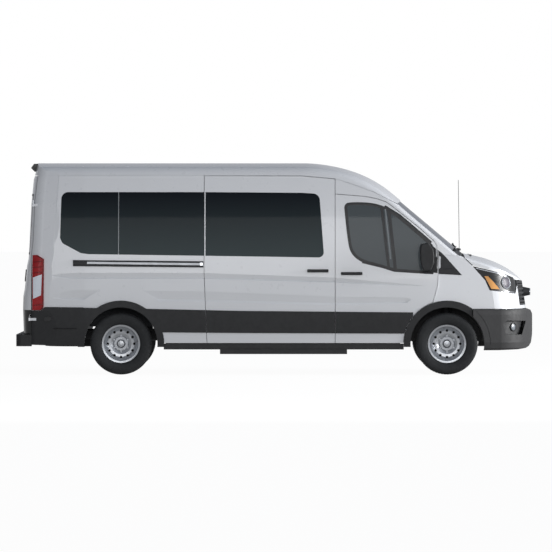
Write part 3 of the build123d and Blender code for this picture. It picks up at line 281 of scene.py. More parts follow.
# Glass colours: the tinted panes keep their real tint but darken to near black at the top, a painted shade. The
# door glass's grey face is painted reflection and see-through light, darker at the top. The windscreen's bluish
# face is a painted sky reflection, lighter at the top.
TINTED = glass_finish("tinted_glass", srgb(64, 75, 77), 0.05, srgb(26, 30, 36), shine=0.06)
CLEAR = glass_finish("clear_glass", srgb(110, 118, 122), 0.45, srgb(104, 112, 116))
SCREEN = glass_finish("screen_glass", srgb(120, 128, 142), 0.35, srgb(128, 136, 150))
GLOSS_BLACK = plain("gloss_black", srgb(24, 25, 28), 0.40, coat=0.0, spread=0.08, grain=700.0, depth=0.1)
CHANNEL = plain("window_channel", srgb(118, 124, 128), 0.4, spread=0.05)
CHROME = plain("bright_trim", srgb(205, 208, 212), 0.15, metal=0.9, spread=0.04)
CAST = plain("cast_iron", srgb(52, 50, 48), 0.65, metal=0.5, spread=0.18, spots=25.0)
RAIL = plain("rail_metal", srgb(178, 181, 185), 0.35, metal=0.5, spread=0.05)
PROJECTOR = plain("projector_glass", srgb(66, 60, 76), 0.45, coat=0.1, spread=0.06)
FOG_GLASS = plain("fog_glass", srgb(120, 126, 132), 0.35, coat=0.3, spread=0.04)
AMBER = plain("amber_lamp", srgb(226, 160, 84), 0.2, coat=1.0, spread=0.06)
DEEP_RED = plain("deep_red", srgb(110, 10, 14), 0.25, coat=0.2, spread=0.08)
SEAM = plain("seam_shadow", srgb(14, 14, 15), 0.7)
PLATE = plain("blank_plate", srgb(214, 215, 214), 0.35, spread=0.03)
LENS = plain("clear_lamp", srgb(236, 243, 252), 0.12, coat=1.0, spread=0.03)
RED = plain("red_lamp", srgb(168, 12, 20), 0.25, coat=0.2, spread=0.08)

FINISH_OF = {
    PAINT: "body_side_right body_side_left roof_panel front_wings sliding_door bonnet front_door_right"
           " front_door_left front_fascia",
    REAR_PAINT: "rear_door_right rear_door_left",
    BLACK: "fog_lamps side_cladding rear_bumper running_board scuttle_panel grille wheel_liners door_track"
           " front_door_trim_right front_door_trim_left antenna",
    GREY: "front_bumper",
    SATIN: "high_brake_lamp headlamps",
    SCREEN: "windscreen",
    TINTED: "side_glass_right side_glass_left rear_glass_right rear_glass_left",
    CLEAR: "front_door_glass_right front_door_glass_left",
    RED: "tail_lamps",
    TRIM: "dashboard steering_wheel",
    CLOTH: "cab_seats passenger_seats",
    MATTING: "floor_pan",
    CHASSIS: "chassis_frame rear_axle leaf_springs propshaft exhaust fuel_tank spare_wheel engine_block"
             " front_suspension knuckle_right knuckle_left",
    RUBBER: "tyre_front_right tyre_front_left tyre_rear_right tyre_rear_left",
    STEEL: "rim_front_right rim_front_left rim_rear_right rim_rear_left",
}


def dress_nodes():
    for finish, names in FINISH_OF.items():
        for name in names.split():
            for place in NODES[name].material_slots:
                place.material = finish


# ------------------------------------------------------------------ mesh helpers
def from_lists(name, verts, faces, finish, body="body", sharp=35):
    """A shown piece from plain lists, shaded smooth but for its sharp edges, riding on a body."""
    mesh = bpy.data.meshes.new(name)
    mesh.from_pydata([tuple(v) for v in verts], [], faces)
    mesh.validate()
    bm = bmesh.new()
    bm.from_mesh(mesh)
    bmesh.ops.recalc_face_normals(bm, faces=bm.faces)
    bm.to_mesh(mesh)
    bm.free()
    mesh.shade_smooth()
    mesh.set_sharp_from_angle(angle=radians(sharp))
    mesh.materials.append(finish)
    piece = bpy.data.objects.new(name, mesh)
    bpy.context.scene.collection.objects.link(piece)
    if body:
        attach(piece, body)
    return piece


class Build:
    """Gathers several shapes into the vertex and face lists of one piece."""

    def __init__(self):
        self.verts, self.faces = [], []

    def add(self, verts, faces):
        base = len(self.verts)
        self.verts += [Vector(v) for v in verts]
        self.faces += [tuple(base + i for i in face) for face in faces]

    def rings(self, rings, closed=False, caps=True):
        """Skin a run of equal rings of points; caps close both ends."""
        count = len(rings[0])
        verts = [v for ring in rings for v in ring]
        faces = []
        last = len(rings) if closed else len(rings) - 1
        for i in range(last):
            a, b = i * count, (i + 1) % len(rings) * count
            for j in range(count):
                k = (j + 1) % count
                faces.append((a + j, a + k, b + k, b + j))
        if caps and not closed:
            faces.append(tuple(range(count)))
            faces.append(tuple(range(len(verts) - count, len(verts))))
        self.add(verts, faces)

    def revolved(self, profile, centre, axis="Y", steps=48, start=0.0):
        """Turn (radius, along) points about an axis; the profile is closed when it doesn't touch the axis."""
        rings = []
        for i in range(steps):
            turn = start + 2 * pi * i / steps
            ring = []
            for radius, along in profile:
                u, v = radius * cos(turn), radius * sin(turn)
                point = {"X": (along, u, v), "Y": (u, along, v), "Z": (u, v, along)}[axis]
                ring.append(Vector(centre) + Vector(point))
            rings.append(ring)
        self.rings(rings, closed=True)

    def tube(self, points, radius, sides=10):
        """A round bar along points; radius is one number or one for each point."""
        points = [Vector(p) for p in points]
        sizes = radius if isinstance(radius, list) else [radius] * len(points)
        rings = []
        side = None
        for i, point in enumerate(points):
            ahead = (points[min(i + 1, len(points) - 1)] - points[max(i - 1, 0)]).normalized()
            if side is None:
                side = ahead.cross(Vector((0.3, 0.5, 0.81))).normalized()
            side = (side - ahead * side.dot(ahead)).normalized()
            up = ahead.cross(side)
            turns = [2 * pi * k / sides for k in range(sides)]
            rings.append([point + (side * cos(t) + up * sin(t)) * sizes[i] for t in turns])
        self.rings(rings)

    def slab(self, low, high, round_by=0.004):
        """A box with all its edges chamfered."""
        (x0, y0, z0), (x1, y1, z1) = low, high
        r = min(round_by, (x1 - x0) / 3, (y1 - y0) / 3, (z1 - z0) / 3)
        rings = []
        for z, inset in ((z0, r), (z0 + r, 0), (z1 - r, 0), (z1, r)):
            a, b, c, d = x0 + inset, x1 - inset, y0 + inset, y1 - inset
            rings.append([Vector(p) for p in (
                (a + r, c, z), (b - r, c, z), (b, c + r, z), (b, d - r, z),
                (b - r, d, z), (a + r, d, z), (a, d - r, z), (a, c + r, z))])
        self.rings(rings)

    def mirrored(self):
        other = Build()
        other.verts = [Vector((v.x, -v.y, v.z)) for v in self.verts]
        other.faces = list(self.faces)
        return other

    def piece(self, name, finish, body="body", sharp=35, slot=None):
        return from_lists(name, self.verts, self.faces, finish, body, sharp)


def both_sides(name, build, finish, body="body", sharp=35, slot=None):
    """A right-hand piece and its mirror image; a body name may hold {side}."""
    made = []
    for side, shape in (("right", build), ("left", build.mirrored())):
        made.append(shape.piece(name + "_" + side, finish, body.format(side=side), sharp, slot))
    return made


def tree_of(names):
    """One search tree over several CAD nodes in their rest place."""
    verts, faces = [], []
    for name in names.split():
        node = NODES[name]
        base = len(verts)
        verts += [node.matrix_world @ v.co for v in node.data.vertices]
        faces += [tuple(base + i for i in p.vertices) for p in node.data.polygons]
    return BVHTree.FromPolygons(verts, faces)


SKIN = tree_of("body_side_right sliding_door front_door_right front_wings side_glass_right"
               " front_door_glass_right headlamps tail_lamps side_cladding front_bumper front_fascia"
               " bonnet roof_panel grille")
UPPER = tree_of("windscreen scuttle_panel bonnet roof_panel front_wings")
REAR_SKIN = tree_of("rear_door_right rear_door_left rear_glass_right rear_glass_left body_side_right"
                    " body_side_left")


def on_skin(x, z, lift=0.0, tree=None):
    """The point of the right-hand skin at X and Z, and its outward normal."""
    hit, normal, face, far = (tree or SKIN).ray_cast(Vector((x, -1.6, z)), Vector((0, 1, 0)))
    if hit is None:
        return Vector((x, -0.95, z)), Vector((0, -1, 0))
    if normal.y > 0:
        normal = -normal
    return hit + normal * lift, normal


def even(points, step, closed=False):
    """Points spaced at most a step apart along a path."""
    ends = points + points[:1] if closed else points
    out = []
    for (x0, z0), (x1, z1) in zip(ends, ends[1:]):
        count = max(1, int(sqrt((x1 - x0) ** 2 + (z1 - z0) ** 2) / step + 0.999))
        out += [(x0 + (x1 - x0) * i / count, z0 + (z1 - z0) * i / count) for i in range(count)]
    return out if closed else out + [points[-1]]


def softened(points, closed=False, times=2):
    """Cut a path's corners."""
    for _ in range(times):
        ends = points + points[:1] if closed else points
        out = [] if closed else [points[0]]
        for (x0, z0), (x1, z1) in zip(ends, ends[1:]):
            out += [(x0 * near + x1 * (1 - near), z0 * near + z1 * (1 - near)) for near in (0.75, 0.25)]
        points = out if closed else out + [points[-1]]
    return points


def moulding(build, path, width, lift, closed=False, step=0.03, sink=0.002, tree=None):
    """A raised strip of constant width that follows the skin along a path in X and Z."""
    path = even(path, step, closed)
    count = len(path)
    rings = []
    for i, (x, z) in enumerate(path):
        before = path[i - 1] if closed or i else path[0]
        after = path[(i + 1) % count] if closed or i < count - 1 else path[-1]
        along = Vector((after[0] - before[0], 0, after[1] - before[1])).normalized()
        across = Vector((along.z, 0, -along.x))
        ring = []
        half = ((0.5, -sink), (0.5, lift * 0.55), (0.34, lift))
        for share, height in [(-share, height) for share, height in half] + list(reversed(half)):
            spot, normal = on_skin(x + across.x * width * share, z + across.z * width * share, height, tree)
            ring.append(spot)
        rings.append(ring)
    build.rings(rings, closed=closed)


def patch(build, outline, lift, grid=0.02, sink=0.002, tree=None):
    """A plate of the outline's shape that lies on the skin, with a turned-down rim."""
    bm = bmesh.new()
    flat = [bm.verts.new((x, 0, z)) for x, z in even(outline, grid, True)]
    bm.faces.new(flat)
    low_x, high_x = min(x for x, z in outline), max(x for x, z in outline)
    low_z, high_z = min(z for x, z in outline), max(z for x, z in outline)
    for low, high, normal in ((low_x, high_x, (1, 0, 0)), (low_z, high_z, (0, 0, 1))):
        for i in range(1, int((high - low) / grid) + 1):
            at = low + grid * i
            spot = (at, 0, 0) if normal[0] else (0, 0, at)
            geometry = bm.verts[:] + bm.edges[:] + bm.faces[:]
            bmesh.ops.bisect_plane(bm, geom=geometry, plane_co=spot, plane_no=normal, dist=1e-6)
    bmesh.ops.triangulate(bm, faces=bm.faces[:])
    rim = {v.index for v in bm.verts if v.is_boundary} if bm.verts.index_update() is None else set()
    bm.verts.ensure_lookup_table()
    top = [on_skin(v.co.x, v.co.z, lift, tree)[0] for v in bm.verts]
    faces = [tuple(v.index for v in f.verts) for f in bm.faces]
    foot, base = {}, len(top)
    for v in bm.verts:
        if v.index in rim:
            foot[v.index] = base + len(foot)
    low_ring = [on_skin(bm.verts[i].co.x, bm.verts[i].co.z, -sink, tree)[0] for i in foot]
    for e in bm.edges:
        if e.is_boundary:
            a, b = e.verts[0].index, e.verts[1].index
            faces.append((a, b, foot[b], foot[a]))
    bm.free()
    build.add(top + low_ring, faces)


# ------------------------------------------------------------------ wheels
AXLES = {"front": 1.968, "rear": -1.782}
HUB_Z = 0.356
TRACK_HALF = 0.870
BLOCKS = 64


def tyre_section():
    """Half-section rows: distance from the wheel's middle, radius, depth of the cross cuts there."""
    return [
        (0.0935, 0.2205, 0), (0.0975, 0.2300, 0), (0.1040, 0.2400, 0), (0.1052, 0.2410, 0),
        (0.1068, 0.2460, 0), (0.1130, 0.2660, 0), (0.1165, 0.2860, 0), (0.1172, 0.2990, 0),
        (0.1160, 0.3100, 0), (0.1166, 0.3115, 0), (0.1150, 0.3200, 0), (0.1120, 0.3300, 0.003),
        (0.1060, 0.3420, 0.006), (0.0960, 0.3495, 0.007), (0.0800, 0.3525, 0.007), (0.0745, 0.3535, 0.006),
        (0.0735, 0.3455, 0), (0.0655, 0.3455, 0), (0.0645, 0.3545, 0.004), (0.0330, 0.3556, 0.004),
        (0.0320, 0.3475, 0), (0.0240, 0.3475, 0), (0.0230, 0.3558, 0.004)]


def add_tyre(end, side):
    """Tread blocks, grooves and sidewall, in place of the plain tyre."""
    build = Build()
    half = tyre_section()
    rows = half + [(-y, r, cut) for y, r, cut in reversed(half)]
    centre = Vector((AXLES[end], SIDES[side] * TRACK_HALF, HUB_Z))
    rings = []
    for block in range(BLOCKS):
        for share, deep in ((0.0, 0), (0.80, 0), (0.83, 1), (0.97, 1)):
            ring = []
            for y, radius, cut in rows:
                lean = 0.18 * (y / 0.1) if cut else 0
                turn = 2 * pi * (block + share + lean) / BLOCKS
                r = radius - cut * deep
                ring.append(centre + Vector((r * cos(turn), y, r * sin(turn))))
            rings.append(ring)
    build.rings(rings, closed=True)
    piece = build.piece("tread_" + end + "_" + side, RUBBER, end + "_wheel_" + side, 28, "tyre")
    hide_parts("tyre_" + end + "_" + side)


NUT_COUNT = 6
NUT_CIRCLE = 0.090
NUT_R = 0.013
NUT_PROFILE = [(0.0005, 0.040), (NUT_R, 0.040), (NUT_R, 0.062), (NUT_R * 0.8, 0.068), (0.0005, 0.068)]


def add_wheel_details(end, side):
    """Brake drum behind the slots, tyre valve, cap rim and wheel nuts."""
    out = SIDES[side]
    centre = Vector((AXLES[end], out * TRACK_HALF, HUB_Z))
    drum = Build()
    profile = [(0.062, 0.012), (0.165, 0.012), (0.172, 0.004), (0.172, -0.05), (0.160, -0.05),
               (0.160, -0.004), (0.062, -0.004)]
    drum.revolved([(r, out * y) for r, y in profile], centre, steps=56)
    drum.piece("brake_" + end + "_" + side, CAST, end + "_wheel_" + side)
    trim = Build()
    ring = [(0.036, 0.0705), (0.042, 0.0700), (0.044, 0.0665), (0.036, 0.0660)]
    trim.revolved([(r, out * (y + 0.002)) for r, y in ring], centre, steps=40)
    start = centre + Vector((0.196, out * 0.030, 0.03))
    trim.tube([start, start + Vector((-0.002, out * 0.03, 0)), start + Vector((-0.004, out * 0.036, 0))],
              [0.0045, 0.0045, 0.003])
    trim.piece("wheel_trim_" + end + "_" + side, BLACK, end + "_wheel_" + side)
    nuts = Build()
    for turn in range(NUT_COUNT):
        angle = 2 * pi * (turn + 0.5) / NUT_COUNT
        middle = centre + Vector((NUT_CIRCLE * cos(angle), 0, NUT_CIRCLE * sin(angle)))
        nuts.revolved([(r, out * y) for r, y in NUT_PROFILE], middle, steps=6)
    nuts.piece("wheel_nuts_" + end + "_" + side, STEEL, end + "_wheel_" + side)


# ------------------------------------------------------------------ windows
DOOR_WINDOW = [(0.803, 1.905), (0.806, 1.946), (0.842, 1.970), (1.075, 1.966), (1.228, 1.930), (1.375, 1.852),
               (1.655, 1.615), (1.800, 1.494), (1.822, 1.172), (1.600, 1.186), (1.356, 1.206), (1.215, 1.252),
               (0.985, 1.308), (0.878, 1.400), (0.845, 1.520)]


def add_window_trim():
    """Black frame and bars of the front door's glass, and the joint in the side windows."""
    frame = Build()
    outline = softened(DOOR_WINDOW, True, 2)
    moulding(frame, outline, 0.034, 0.0014, True, 0.02)
    moulding(frame, [(1.215, 1.940), (1.296, 1.235)], 0.030, 0.0018)
    moulding(frame, [(1.300, 1.890), (1.372, 1.215)], 0.038, 0.0018)
    moulding(frame, [(1.245, 1.930), (1.420, 1.822), (1.655, 1.622), (1.780, 1.512)], 0.050, 0.0016)
    foot = [(0.990, 1.296), (1.230, 1.238), (1.360, 1.196), (1.600, 1.180), (1.810, 1.168)]
    moulding(frame, foot, 0.022, 0.0020)
    both_sides("door_window_frame", frame, GLOSS_BLACK, "front_door_{side}", slot="black_plastic")
    strip = Build()
    moulding(strip, [(1.257, 1.905), (1.318, 1.330)], 0.017, 0.0030)
    both_sides("door_window_channel", strip, CHANNEL, "front_door_{side}", slot="black_plastic")
    seal = Build()
    moulding(seal, [(-1.812, 2.096), (-1.812, 1.392)], 0.007, 0.0022)
    both_sides("side_window_joint", seal, CHANNEL, slot="black_plastic")


DOOR_SAIL = [(1.780, 1.500), (1.863, 1.432), (1.856, 1.172), (1.780, 1.178)]
SAIL = [(1.868, 1.432), (1.918, 1.393), (2.139, 1.146), (1.871, 1.160)]


def add_sail():
    """The black triangular plate between door glass and wing."""
    plate = Build()
    patch(plate, SAIL, 0.004, 0.03)
    for x in (1.905, 1.945, 1.985):
        moulding(plate, [(x, 1.215), (x + 0.075, 1.222)], 0.010, 0.0065)
    both_sides("sail_plate", plate, BLACK, slot="black_plastic")
    door_plate = Build()
    patch(door_plate, DOOR_SAIL, 0.006, 0.012)
    both_sides("door_sail_plate", door_plate, BLACK, "front_door_{side}", slot="black_plastic")


# ------------------------------------------------------------------ lamps
def lamp_rings(spot, normal, profile, steps):
    """Rings of a round form on the skin, from (radius, height) points about its normal."""
    turn = normal.to_track_quat("Z", "Y").to_matrix()
    rings = []
    for i in range(steps):
        angle = 2 * pi * i / steps
        ray = turn @ Vector((cos(angle), sin(angle), 0))
        rings.append([spot + ray * radius + normal * height for radius, height in profile])
    return rings


PROJECTOR_AT = (2.654, 1.058)
PROJECTOR_R = 0.070
PROJECTOR_HOOP = [(1.10, -0.004), (1.10, 0.002), (1.0, 0.005), (0.86, 0.002), (0.84, -0.004)]
PROJECTOR_DOME = [(0.84, 0.000), (0.60, 0.0030), (0.34, 0.0048), (0.04, 0.0055), (0.04, -0.004), (0.84, -0.004)]
INDICATOR = [(2.399, 1.134), (2.440, 1.134), (2.510, 1.060), (2.576, 0.982), (2.528, 0.984), (2.480, 0.987),
             (2.440, 1.060)]


def add_headlamps():
    """What is seen through the lamp's cover: projector, amber indicator and bright edges."""
    rings, dome_glass, amber = Build(), Build(), Build()
    spot, normal = on_skin(*PROJECTOR_AT)
    for build, shape in ((rings, PROJECTOR_HOOP), (dome_glass, PROJECTOR_DOME)):
        profile = [(PROJECTOR_R * share, height) for share, height in shape]
        build.rings(lamp_rings(spot, normal, profile, 48), closed=True)
    moulding(rings, [(2.300, 1.226), (2.406, 1.200), (2.545, 1.168), (2.650, 1.133)], 0.012, 0.004)
    moulding(rings, [(2.640, 0.962), (2.750, 0.945)], 0.010, 0.004)
    patch(amber, INDICATOR, 0.004, 0.025)
    both_sides("headlamp_rings", rings, CHROME, slot="clear_lamp")
    both_sides("headlamp_projectors", dome_glass, PROJECTOR, slot="clear_lamp")
    both_sides("headlamp_indicator", amber, AMBER, slot="clear_lamp")


CLEAR_PART = [(-2.790, 1.118), (-2.700, 1.152), (-2.690, 1.150), (-2.700, 0.915), (-2.790, 0.875)]


def add_tail_lamps():
    """Clear middle, fine ribs and dark edge of the rear lamp."""
    clear, ribs, edge = Build(), Build(), Build()
    patch(clear, CLEAR_PART, 0.0095, 0.02)
    for k in range(9):
        z = 0.800 + 0.062 * k
        if z < 0.86 or z > 1.16:
            moulding(ribs, [(-2.788, z), (-2.690, z + 0.008)], 0.006, 0.0105)
    moulding(edge, [(-2.745, 1.372), (-2.672, 1.328), (-2.676, 0.780), (-2.700, 0.750)], 0.012, 0.0105)
    both_sides("tail_lamp_clear", clear, LENS, slot="clear_lamp")
    both_sides("tail_lamp_ribs", ribs, DEEP_RED, slot="red_lamp")
    both_sides("tail_lamp_edge", edge, DEEP_RED, slot="red_lamp")


FOG_AT = (2.735, 0.545)
FOG_HOOP = [(0.050, -0.004), (0.050, 0.008), (0.044, 0.011), (0.038, 0.008), (0.037, -0.004)]
FOG_DOME = [(0.037, 0.006), (0.026, 0.009), (0.012, 0.011), (0.001, 0.0115), (0.001, -0.004), (0.037, -0.004)]


def add_fog_lamps():
    """Round lamp and its bezel in the bumper's pocket."""
    lamp, bezel = Build(), Build()
    spot, normal = on_skin(*FOG_AT, tree=FOG_SKIN)
    bezel.rings(lamp_rings(spot, normal, FOG_HOOP, 36), closed=True)
    lamp.rings(lamp_rings(spot, normal, FOG_DOME, 36), closed=True)
    both_sides("fog_bezel", bezel, BLACK, slot="black_plastic")
    both_sides("fog_glass", lamp, FOG_GLASS, slot="clear_lamp")


# ------------------------------------------------------------------ small outside parts
def add_track():
    """Bright runner of the sliding door's rail between its black edges, with end caps."""
    rail, cap = Build(), Build()
    moulding(rail, [(-2.170, 1.287), (-0.838, 1.271)], 0.034, 0.0155)
    moulding(cap, [(-2.330, 1.286), (-2.182, 1.286)], 0.060, 0.0170)
    rail.piece("track_runner", RAIL, slot="black_plastic")
    cap.piece("track_cap", BLACK, slot="black_plastic")
    stop = Build()
    moulding(stop, [(-0.872, 1.272), (-0.842, 1.272)], 0.046, 0.0190)
    stop.piece("track_stop", CHROME, slot="black_plastic")


def on_top(x, y, lift=0.0):
    hit, normal, face, far = UPPER.ray_cast(Vector((x, y, 3.0)), Vector((0, 0, -1)))
    if normal.z < 0:
        normal = -normal
    return hit + normal * lift


WIPER_CAP = [(0.001, 0.0), (0.020, 0.0), (0.018, 0.022), (0.001, 0.026)]


def add_wipers():
    """Two arms parked along the foot of the screen, each with a blade, and the washer jets."""
    arms, blades = Build(), Build()
    for pivot_y, end_y in ((0.62, -0.03), (-0.10, -0.74)):
        pivot = on_top(2.128, pivot_y, 0.012)
        points = [pivot] + [on_top(2.128 - 0.07 * t, pivot_y + (end_y - pivot_y) * t, 0.016) for t in
                            (0.2, 0.4, 0.6, 0.8)]
        arms.tube(points, [0.014, 0.010, 0.007, 0.006, 0.005], 10)
        arms.revolved(WIPER_CAP, pivot - Vector((0, 0, 0.01)), "Z", 24)
        run = [on_top(2.088 - 0.040 * t, pivot_y - 0.06 + (end_y - pivot_y) * t, 0.010) for t in
               (0.1, 0.25, 0.4, 0.55, 0.7, 0.85, 1.0)]
        blades.tube(run, 0.007, 8)
        blades.tube([p + Vector((0.006, 0, 0.009)) for p in run], 0.005, 8)
    for y in (-0.38, 0.38):
        jet = on_top(2.255, y, 0.004)
        arms.slab(jet - Vector((0.016, 0.011, 0.006)), jet + Vector((0.016, 0.011, 0.010)), 0.005)
    arms.piece("wiper_arms", BLACK, slot="black_plastic")
    blades.piece("wiper_blades", RUBBER, slot="black_plastic")


BADGE_AT = (2.9665, 0, 0.943)
BADGE_RADIUS = 0.042
GRILLE_REACH = 0.50
GRILLE_LOW = 0.82
GRILLE_HIGH = 1.04
GRILLE_SET_IN = 0.012


def add_small_parts():
    """Side marker and seam in the black band, and the bare ring round the badge place."""
    sensor, dark, ring = Build(), Build(), Build()
    marker = [(-2.665, 0.668), (-2.585, 0.672), (-2.585, 0.618), (-2.665, 0.612)]
    patch(sensor, softened(marker, True, 1), 0.012, 0.03)
    both_sides("side_marker", sensor, GREY, slot="black_plastic")
    moulding(dark, [(-2.560, 0.532), (-2.290, 0.532)], 0.006, 0.0112)
    both_sides("corner_seam", dark, SEAM, slot="black_plastic")
    inner = BADGE_RADIUS - 0.006
    section = [(inner, -0.004), (inner, 0.0015), (BADGE_RADIUS, 0.001), (BADGE_RADIUS, -0.008)]
    ring.revolved(section, BADGE_AT, "X", 48)
    ring.piece("badge_ring", CHROME, slot="black_plastic")


def add_grille_shade_sheet():
    """Near-black sheet close behind the slats of the grille: painted shade in the grille's openings."""
    slats = tree_of("grille")
    shade_sheet, ring_list = Build(), []
    steps = 32
    for i in range(steps + 1):
        y = GRILLE_REACH * (2 * i / steps - 1)
        found = []
        for k in range(24):
            z = GRILLE_LOW + (GRILLE_HIGH - GRILLE_LOW) * k / 23
            hit, normal, face, far = slats.ray_cast(Vector((3.3, y, z)), Vector((-1, 0, 0)))
            if hit is not None and hit.x < 2.93:
                found.append(hit.x)
        front = (sorted(found)[len(found) // 3] if found else 2.80) - GRILLE_SET_IN
        ring_list.append([Vector((front, y, GRILLE_LOW)), Vector((front, y, GRILLE_HIGH)),
                          Vector((front - 0.015, y, GRILLE_HIGH)), Vector((front - 0.015, y, GRILLE_LOW))])
    shade_sheet.rings(ring_list)
    shade_sheet.piece("grille_shade_sheet", SEAM, slot="black_plastic")


def rear_point(y, z, lift=0.0):
    hit, normal, face, far = REAR_SKIN.ray_cast(Vector((-3.4, y, z)), Vector((1, 0, 0)))
    if normal.x > 0:
        normal = -normal
    return hit + normal * lift


def rear_strip(build, points, width, lift, step=0.03, upright=False):
    """A raised strip on the rear doors along points in Y and Z."""
    rings = []
    for y, z in even(points, step):
        ring = []
        half = ((0.5, -0.002), (0.5, lift * 0.6), (0.3, lift))
        for share, height in [(-share, height) for share, height in half] + list(reversed(half)):
            dy, dz = (width * share, 0) if upright else (0, width * share)
            ring.append(rear_point(y + dy, z + dz, height))
        rings.append(ring)
    build.rings(rings)


def add_rear_details():
    """Pull handle, plate holder with lamp bar, and window seals of the rear doors."""
    for side in ("right", "left"):
        out = SIDES[side]
        body = "rear_door_" + side
        seal = Build()
        for z in (1.392, 2.068):
            rear_strip(seal, [(out * 0.085, z), (out * 0.712, z)], 0.022, 0.0025)
        for y in (0.087, 0.710):
            rear_strip(seal, [(out * y, 1.385), (out * y, 2.075)], 0.022, 0.0025, upright=True)
        seal.piece("rear_window_seal_" + side, BLACK, body, slot="black_plastic")
    plate, bar, grip = Build(), Build(), Build()
    rear_strip(plate, [(0.16, 0.80), (0.68, 0.80)], 0.13, 0.010)
    plate.piece("plate_holder", BLACK, "rear_door_left", slot="black_plastic")
    sign = Build()
    rear_strip(sign, [(0.17, 0.80), (0.67, 0.80)], 0.105, 0.013)
    sign.piece("blank_plate", PLATE, "rear_door_left", slot="body_paint")
    rear_strip(bar, [(0.10, 1.125), (0.60, 1.125)], 0.055, 0.022)
    bar.piece("plate_lamp_bar", BLACK, "rear_door_left", slot="black_plastic")
    rear_strip(grip, [(-0.035, 1.06), (-0.035, 1.20)], 0.030, 0.018, upright=True)
    grip.piece("rear_pull", BLACK, "rear_door_right", slot="black_plastic")


# ------------------------------------------------------------------ seats
FLOOR_Z = 0.62
# columns: name, cushion rear X, centre Y, width, places
SEATS = [("driver", 0.880, 0.440, 0.480, 1),
         ("cab_bench", 0.880, -0.370, 0.860, 2),
         ("bench_a", -0.150, 0.380, 0.860, 2),
         ("bench_b", -0.950, 0.380, 0.860, 2),
         ("seat_b", -0.950, -0.590, 0.430, 1),
         ("bench_c", -1.750, 0.0, 1.260, 3)]
CAP = 0.022
CUSHION_SIZE = (0.430, 0.412, 0.124)
BACK_SIZE = (0.735, 0.400, 0.090)
PAD_GAP = 0.012


def foam(size, voxel):
    """A remeshed block with rounded edges, the start of a pad."""
    mesh = bpy.data.meshes.new("foam")
    bm = bmesh.new()
    bmesh.ops.create_cube(bm, size=1.0)
    bmesh.ops.scale(bm, vec=Vector(size), verts=bm.verts)
    bmesh.ops.bevel(bm, geom=bm.edges[:], offset=min(size) * 0.3, segments=3, affect="EDGES")
    bm.to_mesh(mesh)
    bm.free()
    block = bpy.data.objects.new("foam", mesh)
    bpy.context.scene.collection.objects.link(block)
    grid = block.modifiers.new("grid", "REMESH")
    grid.mode = "VOXEL"
    grid.voxel_size = voxel
    even_mesh = bpy.data.meshes.new_from_object(block.evaluated_get(bpy.context.evaluated_depsgraph_get()))
    block.modifiers.clear()
    block.data = even_mesh
    return block


def stuffed(size, voxel=0.018):
    """Points and faces of a pad of this outer size, swollen by the cloth solver from a smaller block."""
    start = tuple(s - CAP * 1.6 for s in size)
    block = foam(start, voxel)
    rest = [v.co.copy() for v in block.data.vertices]
    faces = [tuple(p.vertices) for p in block.data.polygons]
    moved = []
    cloth = block.modifiers.new("puff", "CLOTH")
    cloth.settings.quality = 5
    cloth.settings.use_pressure = True
    cloth.settings.uniform_pressure_force = 4.0
    cloth.settings.effector_weights.gravity = 0.0
    cloth.point_cache.frame_start = 1
    cloth.point_cache.frame_end = 20
    scene = bpy.context.scene
    for step in range(1, 21):
        scene.frame_set(step)
    solved = block.evaluated_get(bpy.context.evaluated_depsgraph_get())
    for old, v in zip(rest, solved.data.vertices):
        travel = v.co - old
        if travel.length > CAP:
            travel *= CAP / travel.length
        moved.append(old + travel)
    block.modifiers.clear()
    scene.frame_set(1)
    bpy.data.objects.remove(block, do_unlink=True)
    return [Vector([max(-s / 2, min(s / 2, c)) for c, s in zip(v, size)]) for v in moved], faces


def refined(build):
    """One subdivision of everything gathered so far."""
    mesh = bpy.data.meshes.new("rough")
    mesh.from_pydata([tuple(v) for v in build.verts], [], build.faces)
    rough = bpy.data.objects.new("rough", mesh)
    bpy.context.scene.collection.objects.link(rough)
    rough.modifiers.new("finer", "SUBSURF").levels = 1
    fine = bpy.data.meshes.new_from_object(rough.evaluated_get(bpy.context.evaluated_depsgraph_get()))
    bpy.data.objects.remove(rough, do_unlink=True)
    out = Build()
    out.add([v.co.copy() for v in fine.vertices], [tuple(p.vertices) for p in fine.polygons])
    return out


CHANNEL_DEEP = 0.005
CHANNEL_HALF = 0.016


def channel(v, across):
    """Sewn channels: shallow lines across the pad's upper face."""
    for line in across:
        gap = abs(v.x - line)
        if v.z > 0 and gap < CHANNEL_HALF:
            v = v - Vector((0, 0, CHANNEL_DEEP * (1 - gap / CHANNEL_HALF)))
    return v


